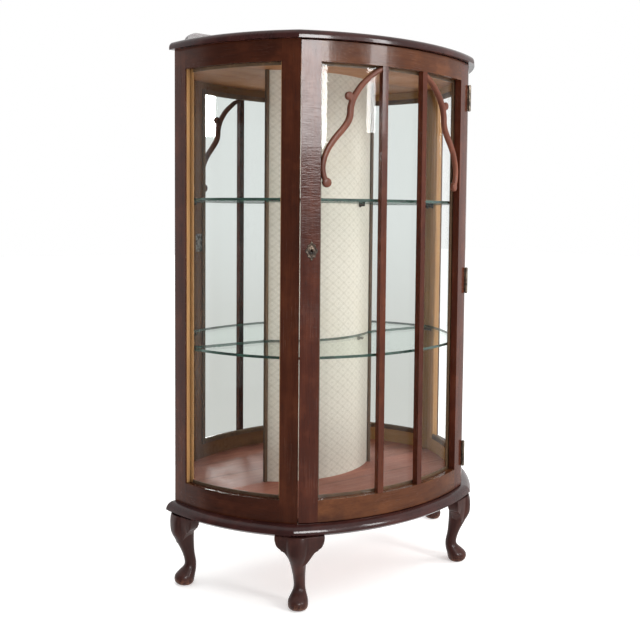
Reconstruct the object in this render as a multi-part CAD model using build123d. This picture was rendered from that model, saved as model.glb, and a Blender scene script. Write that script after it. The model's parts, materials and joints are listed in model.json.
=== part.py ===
from build123d import *
import math
import os

# Bow-front china cabinet with one glazed door, two glazed sides and cabriole legs.
# Millimetres. +Z is up, -Y is the front, and the origin is on the floor under the
# middle of the cabinet.

# ---------------------------------------------------------------- driving sizes
# Case: the glazed box between the base moulding and the top board.
CASE_HEIGHT = 1000.0
FRONT_WIDTH = 465.0          # straight across the two front corners
BACK_WIDTH = 765.0
DEPTH = 277.0                # front corners to the back
FRONT_BOW = 56.0             # rise of the front curve over its chord
SIDE_BOW = 28.0              # rise of each side curve over its chord

# Base, legs and top.
LEG_HEIGHT = 161.0
BASE_HEIGHT = 22.5
BASE_FRONT_PROJECTION = 20.0
BASE_SIDE_PROJECTION = 22.0
BASE_TIP_DROP = 17.0         # widest line of the base moulding, below its top
BASE_TOP_LIP = 3.0           # flat of the moulding outside the case
BASE_UNDERCUT = 7.0
BASE_RAIL_WIDTH = 58.0       # moulding ring, from the case face inwards
TOP_THICKNESS = 17.5
TOP_FRONT_OVERHANG = 12.0
TOP_SIDE_OVERHANG = 13.0
TOP_EDGE_FLAT = 4.5          # square part of the top board's edge, at its bottom
TOP_THUMB = 12.0             # how far the thumbnail curve runs in
UPSTAND_HEIGHT = 23.5
UPSTAND_THICKNESS = 15.0
UPSTAND_INSET = 22.0         # from the case's back corner
UPSTAND_SHOULDER = 24.0

# Door and side frames.
DOOR_THICKNESS = 20.0
DOOR_STILE = 42.0
DOOR_TOP_RAIL = 44.0
DOOR_BOTTOM_RAIL = 48.0
DOOR_END_GAP = 1.5           # above and below the door
DOOR_BACK_GAP = 1.5          # between the door and the boards behind it
SEAM_HALF_GAP = 0.8          # half of the gap between the door and a post
BAR_OFFSET = 55.0            # middle of a glazing bar from the middle of the door
BAR_WIDTH = 14.0
BAR_SETBACK = 1.0
SIDE_THICKNESS = 20.0
SIDE_FRONT_STILE = 40.0
SIDE_BACK_STILE = 39.0
SIDE_TOP_RAIL = 44.0
SIDE_BOTTOM_RAIL = 48.0
GLASS_THICKNESS = 3.0
DOOR_GLASS_DEPTH = 15.0      # face of the glass behind the face of the door
SIDE_GLASS_DEPTH = 13.0
REBATE = 7.0
GLASS_FIT = 0.5              # glass edge to the end of its rebate
BEAD_DEPTH = 6.0
FRET_WIDTH = 12.0
FRET_FACE_DEPTH = 2.0
FRET_BACK_DEPTH = 12.0
FRET_BALL_RADIUS = 9.5
FRET_SPUR_RADIUS = 9.0
FRET_START = 1.0             # the fret's first point, inside the bar's edge
# Each place on the fret: the share of the way from the bar to the stile, and the
# drop below the opening's top.
FRET_LINE = [(0.0, 6.0), (0.20, 22.0), (0.37, 45.0), (0.485, 71.0), (0.515, 102.0),
             (0.62, 130.0), (0.80, 157.0), (0.93, 187.0), (0.968, 210.0), (0.92, 238.0)]
FRET_BALL = (0.895, 243.0)
FRET_SPUR = (0.565, 62.0)

# Boards, back and centre panel.
FLOOR_THICKNESS = 16.0
FLOOR_RISE = 5.0             # floor surface above the case's bottom
CEILING_THICKNESS = 19.0
BACK_THICKNESS = 8.0
MIRROR_THICKNESS = 4.0
MIRROR_END_FIT = 0.5
PANEL_CHORD = 300.0
PANEL_BOW = 54.0
PANEL_THICKNESS = 4.0
PAPER_THICKNESS = 0.6
FORMER_THICKNESS = 12.0
BEAD_WIDTH = 8.0
BEAD_PROUD = 5.0

# Shelves.
SHELF_THICKNESS = 6.0
SHELF_HEIGHTS = {"lower": 341.0, "upper": 673.0}   # underside, above the case's bottom
SHELF_FIT = 2.0              # to the door beads, side beads and centre panel
PEG_RADIUS = 3.0
PEG_REACH = 10.0
PEG_SOCKET = 7.0
PEG_POST_INSET = 25.0        # along the side, from the front corner
PEG_BACK_INSET = 26.0        # along the side, from the back corner
PEG_PANEL_SPREAD = 95.0      # along the centre panel, from its middle

# Hinges and lock.
HINGE_LENGTH = 58.0
HINGE_HEIGHTS = (78.0, 493.0, 920.0)               # middles, above the case's bottom
HINGE_LEAF_WIDTH = 16.0
HINGE_LEAF_THICKNESS = 1.5
HINGE_LEAF_GAP = 0.5
KNUCKLE_RADIUS = 3.6
KNUCKLE_CLEARANCE = 0.4
KNUCKLE_COUNT = 5
KNUCKLE_END_GAP = 0.4
PIN_RADIUS = 1.6
PIN_FIT = 0.05
PIN_HEAD = 1.5
SCREW_RADIUS = 1.5
SCREW_HEAD_RADIUS = 2.6
SCREW_LENGTH = 11.0
SCREW_COUNT = 3
LOCK_HEIGHT = 570.0          # keyhole, above the case's bottom
KEYHOLE_TO_OPENING = 17.6    # keyhole from the stile's inner edge, along the face
LOCK_INSET = DOOR_STILE - KEYHOLE_TO_OPENING       # keyhole from the door's left corner
LOCK_MARGIN = 17.0           # what the lock's case leaves of the stile's width
LOCK_WIDTH = DOOR_STILE - LOCK_MARGIN
LOCK_FIT = 0.04              # case to the rebate that the glass sits in
LOCK_TALL = 46.0
LOCK_THICKNESS = 9.0
BOLT_RISE = 10.0
BOLT_TALL = 12.0
BOLT_THICKNESS = 5.0
BOLT_TAIL = 2.0              # how much shorter the bolt is than the lock's case
BOLT_LENGTH = LOCK_WIDTH - BOLT_TAIL
BOLT_TRAVEL = 7.0
BOLT_REST_SETBACK = 0.7      # bolt end inside the door's edge when withdrawn
BOLT_CLEARANCE = 0.4
KEYHOLE_RADIUS = 2.6
KEYHOLE_SLOT = 2.4
KEYHOLE_DROP = 9.0
ESCUTCHEON_WIDTH = 24.0
ESCUTCHEON_HEIGHT = 38.0
ESCUTCHEON_THICKNESS = 1.2
ESCUTCHEON_PIN_RADIUS = 0.8

# Legs.
FRONT_LEG_HEADING = -45.0    # which way the front right leg points
BACK_LEG_HEADING = 0.0
BACK_LEG_INSET = 25.5        # middle of a back leg from the back face
KNEE_OUT = 24.0              # knee beyond the case's corner
KNEE_IN = 28.0               # knee inside the case's corner
KNEE_WIDTH = 50.0
ANKLE_OUT = -8.0
ANKLE_IN = 34.0
ANKLE_WIDTH = 25.0
FOOT_OUT = 16.0
FOOT_IN = 28.0
FOOT_WIDTH = 43.0
FOOT_THICKNESS = 17.0
FOOT_ROUND = 7.14            # rounding of the foot's edges
INSTEP_SETBACK = 5.0         # top of the foot, inside its toe
KNEE_SETBACK = 5.0           # top of the knee, inside its widest line
KNEE_DROP = 27.4             # widest line of the knee, below the leg's top
CALF_DROP = 64.4
CALF_OUT = 13.2
ANKLE_HEIGHT = 43.5
SHIN_SHARE = 0.545           # height of the shin, between the ankle and the calf
BRACKET_THICKNESS = 24.0
BRACKET_FACE = 13.0          # bracket face outside the case's face
BRACKET_DROP = 44.0
FRONT_BRACKET_REACH = 51.0
SHORT_BRACKET_REACH = 42.0
BACK_BRACKET_REACH = 74.0
DOWEL_RADIUS = 5.0
DOWEL_DEPTH = 25.0

# ---------------------------------------------------------------- worked-out places
CASE_BOTTOM = LEG_HEIGHT + BASE_HEIGHT
CASE_TOP = CASE_BOTTOM + CASE_HEIGHT
FRONT_Y = (FRONT_BOW + BASE_FRONT_PROJECTION - DEPTH) / 2
BACK_Y = FRONT_Y + DEPTH
MIRROR_BACK_Y = BACK_Y - BACK_THICKNESS
MIRROR_FACE_Y = MIRROR_BACK_Y - MIRROR_THICKNESS
FLOOR_TOP = CASE_BOTTOM + FLOOR_RISE
FLOOR_BOTTOM = FLOOR_TOP - FLOOR_THICKNESS
CEILING_BOTTOM = CASE_TOP - CEILING_THICKNESS
DOOR_BOTTOM = CASE_BOTTOM + DOOR_END_GAP
DOOR_TOP = CASE_TOP - DOOR_END_GAP
BIG = 2000.0                 # longer than anything it cuts
TINY = 0.01


class Arc:
    """A vertical curved wall: the centre of its curve, its outer radius and its length."""

    def __init__(self, first, last, bow):
        chord = math.dist(first, last)
        self.radius = (chord ** 2 / 4 + bow ** 2) / (2 * bow)
        self.half_angle = math.asin(chord / 2 / self.radius)
        self.half = self.half_angle * self.radius
        along = math.atan2(last[1] - first[1], last[0] - first[0])
        self.heading = along - math.pi / 2
        middle = ((first[0] + last[0]) / 2, (first[1] + last[1]) / 2)
        back = self.radius - bow
        self.x = middle[0] - back * math.cos(self.heading)
        self.y = middle[1] - back * math.sin(self.heading)

    def angle(self, s):
        return self.heading + s / self.radius

    def point(self, s, offset=0.0):
        reach = self.radius + offset
        return (self.x + reach * math.cos(self.angle(s)), self.y + reach * math.sin(self.angle(s)))


CORNER = (FRONT_WIDTH / 2, FRONT_Y)
BACK_CORNER = (BACK_WIDTH / 2, BACK_Y)
FRONT = Arc((-FRONT_WIDTH / 2, FRONT_Y), CORNER, FRONT_BOW)
SIDE = Arc(CORNER, BACK_CORNER, SIDE_BOW)
PANEL = Arc((-PANEL_CHORD / 2, MIRROR_FACE_Y), (PANEL_CHORD / 2, MIRROR_FACE_Y), PANEL_BOW)
SEAM_HEADING = (FRONT.angle(FRONT.half) + SIDE.angle(-SIDE.half)) / 2

nodes = {}


def keep(name, shape):
    nodes[name] = shape


def both_sides(name, shape):
    keep(f"{name}_right", shape)
    keep(f"{name}_left", mirror(shape, about=Plane.YZ))


def group(shapes):
    return Compound(children=list(shapes))


# ---------------------------------------------------------------- building blocks
def block(x0, x1, y0, y1, z0, z1):
    return Pos((x0 + x1) / 2, (y0 + y1) / 2, (z0 + z1) / 2) * Box(x1 - x0, y1 - y0, z1 - z0)


def post(x, y, radius, z0, z1):
    return Pos(x, y, (z0 + z1) / 2) * Cylinder(radius, z1 - z0)


def arc_block(arc, s0, s1, outer, inner, z0, z1):
    """Part of a curved wall between two lengths along it and two offsets from its face."""
    middle = (s0 + s1) / 2
    edges = [
        ThreePointArc(arc.point(s0, outer), arc.point(middle, outer), arc.point(s1, outer)),
        Line(arc.point(s1, outer), arc.point(s1, inner)),
        ThreePointArc(arc.point(s1, inner), arc.point(middle, inner), arc.point(s0, inner)),
        Line(arc.point(s0, inner), arc.point(s0, outer)),
    ]
    return Pos(0, 0, z0) * extrude(make_face(edges), amount=z1 - z0, dir=(0, 0, 1))


def plan_block(front, side, back, z0, z1):
    """The cabinet's plan as a solid, with its faces moved out by the offsets given."""
    shape = block(-BIG, BIG, FRONT_Y - BIG, BACK_Y + back, z0, z1)
    shape = shape & post(FRONT.x, FRONT.y, FRONT.radius + front, z0, z1)
    shape = shape & post(SIDE.x, SIDE.y, SIDE.radius + side, z0, z1)
    return shape & post(-SIDE.x, SIDE.y, SIDE.radius + side, z0, z1)


def quarter(centre, across, up, start):
    """A quarter of an ellipse, anticlockwise from the start angle."""
    return EllipticalCenterArc(centre, across, up, start, arc_size=90)


def turned(radius, outline, x, y):
    """A solid of revolution about a vertical line; the outline gives its edge by height."""
    face = make_face(outline(radius))
    return Pos(x, y, 0) * revolve(Plane.XZ * face, axis=Axis.Z)


def moulded_board(outline, front, side, z0, z1):
    """A board in the cabinet's plan whose curved edges all carry the same moulding."""
    shape = block(-BIG, BIG, FRONT_Y - BIG, BACK_Y, z0, z1)
    shape = shape & turned(FRONT.radius, lambda r: outline(r, front), FRONT.x, FRONT.y)
    shape = shape & turned(SIDE.radius, lambda r: outline(r, side), SIDE.x, SIDE.y)
    return shape & turned(SIDE.radius, lambda r: outline(r, side), -SIDE.x, SIDE.y)


def seam_frame(z=0.0):
    """At the front right corner: X runs inwards along the seam, and +Y is the door's side."""
    return Location((CORNER[0], CORNER[1], z), (0, 0, math.degrees(SEAM_HEADING) + 180))


def door_side(gap):
    return seam_frame() * block(-BIG, BIG, gap, BIG, -BIG, BIG)


def post_side(gap):
    return seam_frame() * block(-BIG, BIG, -BIG, -gap, -BIG, BIG)


def on_front(shape, s):
    """Turn a shape made at the middle of the front to length s along the front."""
    turn = Pos(FRONT.x, FRONT.y, 0) * Rot(0, 0, math.degrees(s / FRONT.radius)) * Pos(-FRONT.x, -FRONT.y, 0)
    return turn * shape


FRONT_FACE_Y = FRONT.y - FRONT.radius


# ---------------------------------------------------------------- top and base
def top_outline(radius, overhang):
    edge = radius + overhang
    low, high = CASE_TOP, CASE_TOP + TOP_THICKNESS
    turn = low + TOP_EDGE_FLAT
    return [
        Line((0, low), (edge, low)),
        Line((edge, low), (edge, turn)),
        quarter((edge - TOP_THUMB, turn), TOP_THUMB, high - turn, 0),
        Line((edge - TOP_THUMB, high), (0, high)),
        Line((0, high), (0, low)),
    ]


def base_outline(radius, projection):
    high, low = CASE_BOTTOM, LEG_HEIGHT
    tip = high - BASE_TIP_DROP
    lip = radius + BASE_TOP_LIP
    return [
        Line((0, low), (radius + projection - BASE_UNDERCUT, low)),
        Line((radius + projection - BASE_UNDERCUT, low), (radius + projection, tip)),
        quarter((lip, tip), projection - BASE_TOP_LIP, high - tip, 0),
        Line((lip, high), (0, high)),
        Line((0, high), (0, low)),
    ]


def make_top():
    keep("top_board", moulded_board(top_outline, TOP_FRONT_OVERHANG, TOP_SIDE_OVERHANG,
                                    CASE_TOP, CASE_TOP + TOP_THICKNESS))
    half = BACK_WIDTH / 2 - UPSTAND_INSET
    low = CASE_TOP + TOP_THICKNESS
    high = low + UPSTAND_HEIGHT
    outline = [
        Line((-half, low), (half, low)),
        quarter((half - UPSTAND_SHOULDER, low), UPSTAND_SHOULDER, UPSTAND_HEIGHT, 0),
        Line((half - UPSTAND_SHOULDER, high), (UPSTAND_SHOULDER - half, high)),
        quarter((UPSTAND_SHOULDER - half, low), UPSTAND_SHOULDER, UPSTAND_HEIGHT, 90),
    ]
    board = extrude(Plane.XZ * make_face(outline), amount=UPSTAND_THICKNESS, dir=(0, 1, 0))
    keep("back_upstand", Pos(0, BACK_Y - UPSTAND_THICKNESS, 0) * board)


def inner_board(z0, z1):
    return plan_block(-DOOR_THICKNESS - DOOR_BACK_GAP, -SIDE_THICKNESS, -BACK_THICKNESS, z0, z1)


def make_boards():
    ring = moulded_board(base_outline, BASE_FRONT_PROJECTION, BASE_SIDE_PROJECTION,
                         LEG_HEIGHT, CASE_BOTTOM)
    ring = ring - plan_block(-BASE_RAIL_WIDTH, -BASE_RAIL_WIDTH, -BASE_RAIL_WIDTH,
                             LEG_HEIGHT - 1, CASE_BOTTOM + 1)
    seat = inner_board(FLOOR_BOTTOM, CASE_BOTTOM + 1)
    dowels = [hole for spot in leg_spots() for hole in mirrored(leg_dowel(spot))]
    for cut in [seat] + dowels:
        ring = ring - cut
    keep("base_moulding", ring)
    keep("floor_board", inner_board(FLOOR_BOTTOM, FLOOR_TOP))
    keep("ceiling_board", inner_board(CEILING_BOTTOM, CASE_TOP))


# ---------------------------------------------------------------- legs
def mirrored(shape):
    return [shape, mirror(shape, about=Plane.YZ)]


def leg_spots():
    """Each right-hand leg: the point that its sizes start from, and its heading."""
    back_y = BACK_Y - BACK_LEG_INSET
    side_x = SIDE.x + math.sqrt(SIDE.radius ** 2 - (back_y - SIDE.y) ** 2)
    return [(CORNER, FRONT_LEG_HEADING), ((side_x, back_y), BACK_LEG_HEADING)]


def leg_frame(spot):
    (x, y), heading = spot
    return Location((x, y, 0), (0, 0, heading))


def leg_dowel(spot):
    middle = (KNEE_OUT - KNEE_IN) / 2 - DOWEL_RADIUS
    top = FLOOR_BOTTOM
    return leg_frame(spot) * post(middle, 0, DOWEL_RADIUS, LEG_HEIGHT - DOWEL_DEPTH, top)


def leg_section(z, reach_out, reach_in, width, roundness):
    depth = reach_out + reach_in
    corner = roundness * min(depth, width) / 2
    return Pos((reach_out - reach_in) / 2, 0, z) * RectangleRounded(depth, width, corner)


def make_leg(spot):
    knee = LEG_HEIGHT - KNEE_DROP
    calf = LEG_HEIGHT - CALF_DROP
    shin = ANKLE_HEIGHT + SHIN_SHARE * (calf - ANKLE_HEIGHT)
    calf_width = (KNEE_WIDTH + ANKLE_WIDTH) / 2
    sections = [
        leg_section(LEG_HEIGHT, KNEE_OUT - KNEE_SETBACK, KNEE_IN, KNEE_WIDTH, 0.5),
        leg_section(knee, KNEE_OUT, KNEE_IN, KNEE_WIDTH, 0.55),
        leg_section(calf, CALF_OUT, KNEE_IN + 1, calf_width, 0.7),
        leg_section(shin, ANKLE_OUT + 6, ANKLE_IN - 2, ANKLE_WIDTH + 2, 0.85),
        leg_section(ANKLE_HEIGHT, ANKLE_OUT, ANKLE_IN, ANKLE_WIDTH, 0.95),
        leg_section(FOOT_THICKNESS, FOOT_OUT - INSTEP_SETBACK, FOOT_IN, FOOT_WIDTH - 6, 0.95),
    ]
    leg = loft(sections)
    pad_x = (FOOT_OUT - FOOT_IN) / 2
    pad = Pos(pad_x, 0, FOOT_THICKNESS / 2) * Cylinder(FOOT_WIDTH / 2, FOOT_THICKNESS)
    pad = fillet(pad.edges().filter_by(GeomType.CIRCLE), FOOT_ROUND)
    return leg_frame(spot) * (leg + pad)


def bracket_outline(reach, low):
    """The bracket's stepped ogee, drawn along the case and up from its lowest point."""
    top = LEG_HEIGHT
    lip = 0.25 * BRACKET_DROP
    step_x = reach - 0.30 * BRACKET_DROP
    step_z = top - 0.60 * BRACKET_DROP
    nose = (reach - 0.1 * BRACKET_DROP, top - 0.42 * BRACKET_DROP)
    return [
        Line((0, top), (reach, top)),
        Line((reach, top), (reach, top - lip)),
        ThreePointArc((reach, top - lip), nose, (step_x, step_z)),
        Line((step_x, step_z), (step_x - 0.1 * BRACKET_DROP, step_z)),
        ThreePointArc((step_x - 0.1 * BRACKET_DROP, step_z),
                      (step_x - 0.4 * BRACKET_DROP, low + 0.2 * BRACKET_DROP),
                      (0.25 * reach, low)),
        Line((0.25 * reach, low), (0, low)),
        Line((0, low), (0, top)),
    ]


def make_bracket(arc, s_corner, direction, reach, leg):
    """A shaped block under the moulding, against a leg's knee."""
    low = LEG_HEIGHT - BRACKET_DROP
    face = make_face(bracket_outline(reach, low))
    middle = s_corner + direction * reach / 2
    heading = math.degrees(arc.angle(middle)) + 90
    if direction < 0:
        face = mirror(face, about=Plane.YZ)
    slab = extrude(Plane.XZ * face, amount=BIG / 10, dir=(0, 1, 0))
    slab = Pos(0, -BIG / 20, 0) * slab
    x, y = arc.point(s_corner)
    slab = Location((x, y, 0), (0, 0, heading)) * slab
    ring = post(arc.x, arc.y, arc.radius + BRACKET_FACE, low, LEG_HEIGHT)
    ring = ring - post(arc.x, arc.y, arc.radius + BRACKET_FACE - BRACKET_THICKNESS, low, LEG_HEIGHT)
    pieces = (slab & ring) - leg
    return pieces.solids().sort_by(SortBy.VOLUME)[-1]


def make_legs():
    front_spot, back_spot = leg_spots()
    front_leg = make_leg(front_spot)
    back_leg = make_leg(back_spot)
    both_sides("leg_front", front_leg - leg_dowel(front_spot))
    both_sides("leg_back", back_leg - leg_dowel(back_spot))
    long_bracket = make_bracket(FRONT, FRONT.half, -1, FRONT_BRACKET_REACH, front_leg)
    short_bracket = make_bracket(SIDE, -SIDE.half, 1, SHORT_BRACKET_REACH, front_leg)
    short_bracket = short_bracket - long_bracket
    back_bracket = make_bracket(SIDE, SIDE.half, -1, BACK_BRACKET_REACH, back_leg)
    both_sides("knee_bracket_front", long_bracket)
    both_sides("knee_bracket_side", short_bracket)
    both_sides("knee_bracket_back", back_bracket)
    dowels = [dowel for spot in (front_spot, back_spot) for dowel in mirrored(leg_dowel(spot))]
    keep("leg_dowels", group(dowels))


# ---------------------------------------------------------------- glazed frames
def rebate_cut(arc, s0, s1, z0, z1, depth, thickness):
    """The step behind a glazed opening that takes the glass and its beads."""
    return arc_block(arc, s0 - REBATE, s1 + REBATE, -depth, -thickness - 1, z0 - REBATE, z1 + REBATE)


def glass_pane(arc, s0, s1, z0, z1, depth):
    edge = REBATE - GLASS_FIT
    return arc_block(arc, s0 - edge, s1 + edge, -depth, -depth - GLASS_THICKNESS, z0 - edge, z1 + edge)


def glass_beads(arc, s0, s1, z0, z1, depth):
    """Four strips behind the glass, filling the rebate all round."""
    outer = -depth - GLASS_THICKNESS
    inner = outer - BEAD_DEPTH
    left, right = s0 - REBATE, s1 + REBATE
    low, high = z0 - REBATE, z1 + REBATE
    return group([
        arc_block(arc, left, s0, outer, inner, low, high),
        arc_block(arc, s1, right, outer, inner, low, high),
        arc_block(arc, s0, s1, outer, inner, low, z0),
        arc_block(arc, s0, s1, outer, inner, z1, high),
    ])


def peg(arc, s, face, z):
    """A shelf peg standing out of a curved face, with its end in a socket."""
    x, y = arc.point(s, face)
    length = PEG_SOCKET + PEG_REACH
    rod = Rot(0, 90, 0) * Cylinder(PEG_RADIUS, length)
    shift = (PEG_SOCKET - PEG_REACH) / 2
    return Location((x, y, z), (0, 0, math.degrees(arc.angle(s)))) * Pos(shift, 0, 0) * rod


def side_pegs():
    spots = [-SIDE.half + PEG_POST_INSET, SIDE.half - PEG_BACK_INSET]
    return [peg(SIDE, s, -SIDE_THICKNESS, CASE_BOTTOM + z - PEG_RADIUS)
            for s in spots for z in SHELF_HEIGHTS.values()]


def panel_pegs():
    """The centre panel's pegs stand outwards, so their sockets run towards its middle."""
    pegs = []
    for s in (-PEG_PANEL_SPREAD, PEG_PANEL_SPREAD):
        for z in SHELF_HEIGHTS.values():
            x, y = PANEL.point(s, PAPER_THICKNESS)
            rod = Rot(0, 90, 0) * Cylinder(PEG_RADIUS, PANEL_THICKNESS + PAPER_THICKNESS + PEG_REACH)
            shift = (PEG_REACH - PANEL_THICKNESS - PAPER_THICKNESS) / 2
            place = Location((x, y, CASE_BOTTOM + z - PEG_RADIUS), (0, 0, math.degrees(PANEL.angle(s))))
            pegs.append(place * Pos(shift, 0, 0) * rod)
    return pegs


def make_sides(post_cuts, left_cuts):
    s0 = -SIDE.half + SIDE_FRONT_STILE
    s1 = SIDE.half - SIDE_BACK_STILE
    z0 = CASE_BOTTOM + SIDE_BOTTOM_RAIL
    z1 = CASE_TOP - SIDE_TOP_RAIL
    rebate = rebate_cut(SIDE, s0, s1, z0, z1, SIDE_GLASS_DEPTH, SIDE_THICKNESS)
    front = arc_block(SIDE, -SIDE.half - SIDE_FRONT_STILE, s0, 0, -SIDE_THICKNESS, CASE_BOTTOM, CASE_TOP)
    front = front & post_side(SEAM_HALF_GAP)
    back = arc_block(SIDE, s1, SIDE.half + SIDE_BACK_STILE, 0, -SIDE_THICKNESS, CASE_BOTTOM, CASE_TOP)
    back = back & block(0, BIG, -BIG, BACK_Y, 0, BIG)
    pegs = side_pegs()
    for cut in [rebate] + pegs:
        front = front - cut
        back = back - cut
    right_post = front
    for cut in post_cuts:
        right_post = right_post - cut
    left_post = mirror(front, about=Plane.YZ)
    for cut in left_cuts:
        left_post = left_post - cut
    keep("side_front_stile_right", right_post)
    keep("side_front_stile_left", left_post)
    both_sides("side_back_stile", back)
    both_sides("side_top_rail", arc_block(SIDE, s0, s1, 0, -SIDE_THICKNESS, z1, CASE_TOP) - rebate)
    both_sides("side_bottom_rail", arc_block(SIDE, s0, s1, 0, -SIDE_THICKNESS, CASE_BOTTOM, z0) - rebate)
    both_sides("side_glass", glass_pane(SIDE, s0, s1, z0, z1, SIDE_GLASS_DEPTH))
    both_sides("side_beads", glass_beads(SIDE, s0, s1, z0, z1, SIDE_GLASS_DEPTH))


# ---------------------------------------------------------------- back, mirrors, centre panel
def make_back():
    inside = -SIDE_THICKNESS
    back = plan_block(0, inside, 0, CASE_BOTTOM, CASE_TOP)
    back = back & block(-BIG, BIG, MIRROR_BACK_Y, BACK_Y, CASE_BOTTOM, CASE_TOP)
    keep("back_panel", back)

    low, high = FLOOR_TOP, CEILING_BOTTOM
    panel_end = PANEL.x + math.sqrt((PANEL.radius + PAPER_THICKNESS) ** 2 - (MIRROR_BACK_Y - PANEL.y) ** 2)
    glass = plan_block(0, inside - MIRROR_END_FIT, -BACK_THICKNESS, low, high)
    glass = glass & block(panel_end + MIRROR_END_FIT, BIG, MIRROR_FACE_Y, MIRROR_BACK_Y, low, high)
    both_sides("mirror", glass)

    behind = block(-BIG, BIG, -BIG, MIRROR_BACK_Y, low, high)
    skin = post(PANEL.x, PANEL.y, PANEL.radius + PAPER_THICKNESS, low, high)
    face = post(PANEL.x, PANEL.y, PANEL.radius, low, high)
    hollow = post(PANEL.x, PANEL.y, PANEL.radius - PANEL_THICKNESS, low, high)
    panel = (face - hollow) & behind
    paper = (skin - face) & behind
    for cut in panel_pegs():
        panel = panel - cut
        paper = paper - cut
    keep("centre_panel", panel)
    keep("centre_panel_paper", paper)
    heights = [low, (low + high - FORMER_THICKNESS) / 2, high - FORMER_THICKNESS]
    slabs = [block(-BIG, BIG, -BIG, MIRROR_BACK_Y, z, z + FORMER_THICKNESS) for z in heights]
    keep("centre_panel_formers", group([hollow & slab for slab in slabs]))

    start = PANEL.x + math.sqrt((PANEL.radius + PAPER_THICKNESS) ** 2 - (MIRROR_FACE_Y - PANEL.y) ** 2)
    strip = block(start, start + BEAD_WIDTH, MIRROR_FACE_Y - BEAD_PROUD, MIRROR_FACE_Y, low, high)
    front_edges = strip.edges().filter_by(Axis.Z).group_by(Axis.Y)[0]
    strip = fillet(front_edges, BEAD_PROUD * 0.4)
    keep("centre_panel_beads", group(mirrored(strip)))
    return start + BEAD_WIDTH


def make_shelves(bead_end):
    front = -(DOOR_GLASS_DEPTH + GLASS_THICKNESS + BEAD_DEPTH + SHELF_FIT)
    side = -(SIDE_GLASS_DEPTH + GLASS_THICKNESS + BEAD_DEPTH + SHELF_FIT)
    notch_y = MIRROR_FACE_Y - BEAD_PROUD - SHELF_FIT / 2
    reach = PANEL.radius + PAPER_THICKNESS + SHELF_FIT / 2
    for name, height in SHELF_HEIGHTS.items():
        z0 = CASE_BOTTOM + height
        z1 = z0 + SHELF_THICKNESS
        shelf = plan_block(front, side, -BACK_THICKNESS - MIRROR_THICKNESS - SHELF_FIT / 2, z0, z1)
        shelf = shelf - post(PANEL.x, PANEL.y, reach, z0, z1)
        notch = bead_end + SHELF_FIT / 2
        shelf = shelf - block(-notch, notch, notch_y, BIG, z0, z1)
        keep(f"shelf_{name}", shelf)
    keep("shelf_pegs", group([p for each in side_pegs() for p in mirrored(each)] + panel_pegs()))


# ---------------------------------------------------------------- hinges
AXIS_OUT = KNUCKLE_RADIUS + KNUCKLE_CLEARANCE


def hinge_frame(z):
    return seam_frame(z) * Pos(-AXIS_OUT, 0, 0)


def knuckle_spans(owner):
    """Heights of one leaf's knuckles: the case leaf has the odd ones, the door leaf the rest."""
    pitch = HINGE_LENGTH / KNUCKLE_COUNT
    spans = []
    for index in range(KNUCKLE_COUNT):
        if index % 2 == owner:
            low = -HINGE_LENGTH / 2 + index * pitch
            spans.append((low + KNUCKLE_END_GAP / 2, low + pitch - KNUCKLE_END_GAP / 2))
    return spans


def leaf_plate(side, grow=0.0):
    """The flat of a leaf; side is +1 for the door's leaf and -1 for the case's."""
    near = HINGE_LEAF_GAP / 2
    far = near + HINGE_LEAF_THICKNESS
    y0, y1 = sorted((side * near, side * far))
    end = AXIS_OUT + HINGE_LEAF_WIDTH
    return block(0, end + grow, y0, y1, -HINGE_LENGTH / 2 - grow, HINGE_LENGTH / 2 + grow)


def screw_places():
    reach = AXIS_OUT + HINGE_LEAF_WIDTH / 2
    pitch = HINGE_LENGTH / SCREW_COUNT
    return [(reach, (index - (SCREW_COUNT - 1) / 2) * pitch) for index in range(SCREW_COUNT)]


def leaf_screw(side, x, z):
    near = HINGE_LEAF_GAP / 2
    shank = Rot(90, 0, 0) * Cylinder(SCREW_RADIUS, SCREW_LENGTH)
    head = Rot(side * -90, 0, 0) * Cone(SCREW_HEAD_RADIUS, SCREW_RADIUS, HINGE_LEAF_THICKNESS)
    shank = Pos(x, side * (near + SCREW_LENGTH / 2), z) * shank
    head = Pos(x, side * (near + HINGE_LEAF_THICKNESS / 2), z) * head
    return shank + head


def hinge_leaf(side):
    owner = 1 if side > 0 else 0
    leaf = leaf_plate(side)
    for z0, z1 in knuckle_spans(1 - owner):
        leaf = leaf - post(0, 0, AXIS_OUT, z0 - KNUCKLE_END_GAP, z1 + KNUCKLE_END_GAP)
    for z0, z1 in knuckle_spans(owner):
        leaf = leaf + post(0, 0, KNUCKLE_RADIUS, z0, z1)
    bore = PIN_RADIUS + (PIN_FIT if side > 0 else 0)
    leaf = leaf - post(0, 0, bore, -HINGE_LENGTH, HINGE_LENGTH)
    for x, z in screw_places():
        leaf = leaf - leaf_screw(side, x, z)
    return leaf


def hinge_pin():
    half = HINGE_LENGTH / 2
    pin = post(0, 0, PIN_RADIUS, -half, half + TINY)
    ends = [post(0, 0, KNUCKLE_RADIUS * 0.8, half, half + PIN_HEAD)]
    ends.append(post(0, 0, KNUCKLE_RADIUS * 0.8, -half - PIN_HEAD, -half))
    return pin + ends[0] + ends[1]


def make_hinges():
    """Three butt hinges; returns what each side's wood gives up to them."""
    frames = [hinge_frame(CASE_BOTTOM + z) for z in HINGE_HEIGHTS]
    cuts = {}
    for side, owner in ((-1, "case"), (1, "door")):
        leaf = hinge_leaf(side)
        screws = [leaf_screw(side, x, z) for x, z in screw_places()]
        keep(f"{owner}_hinge_leaves", group([frame * leaf for frame in frames]))
        placed = [frame * screw for frame in frames for screw in screws]
        keep(f"{owner}_hinge_screws", group(placed))
        cuts[owner] = [frame * leaf_plate(side) for frame in frames] + placed
    keep("hinge_pins", group([frame * hinge_pin() for frame in frames]))
    return cuts


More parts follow.
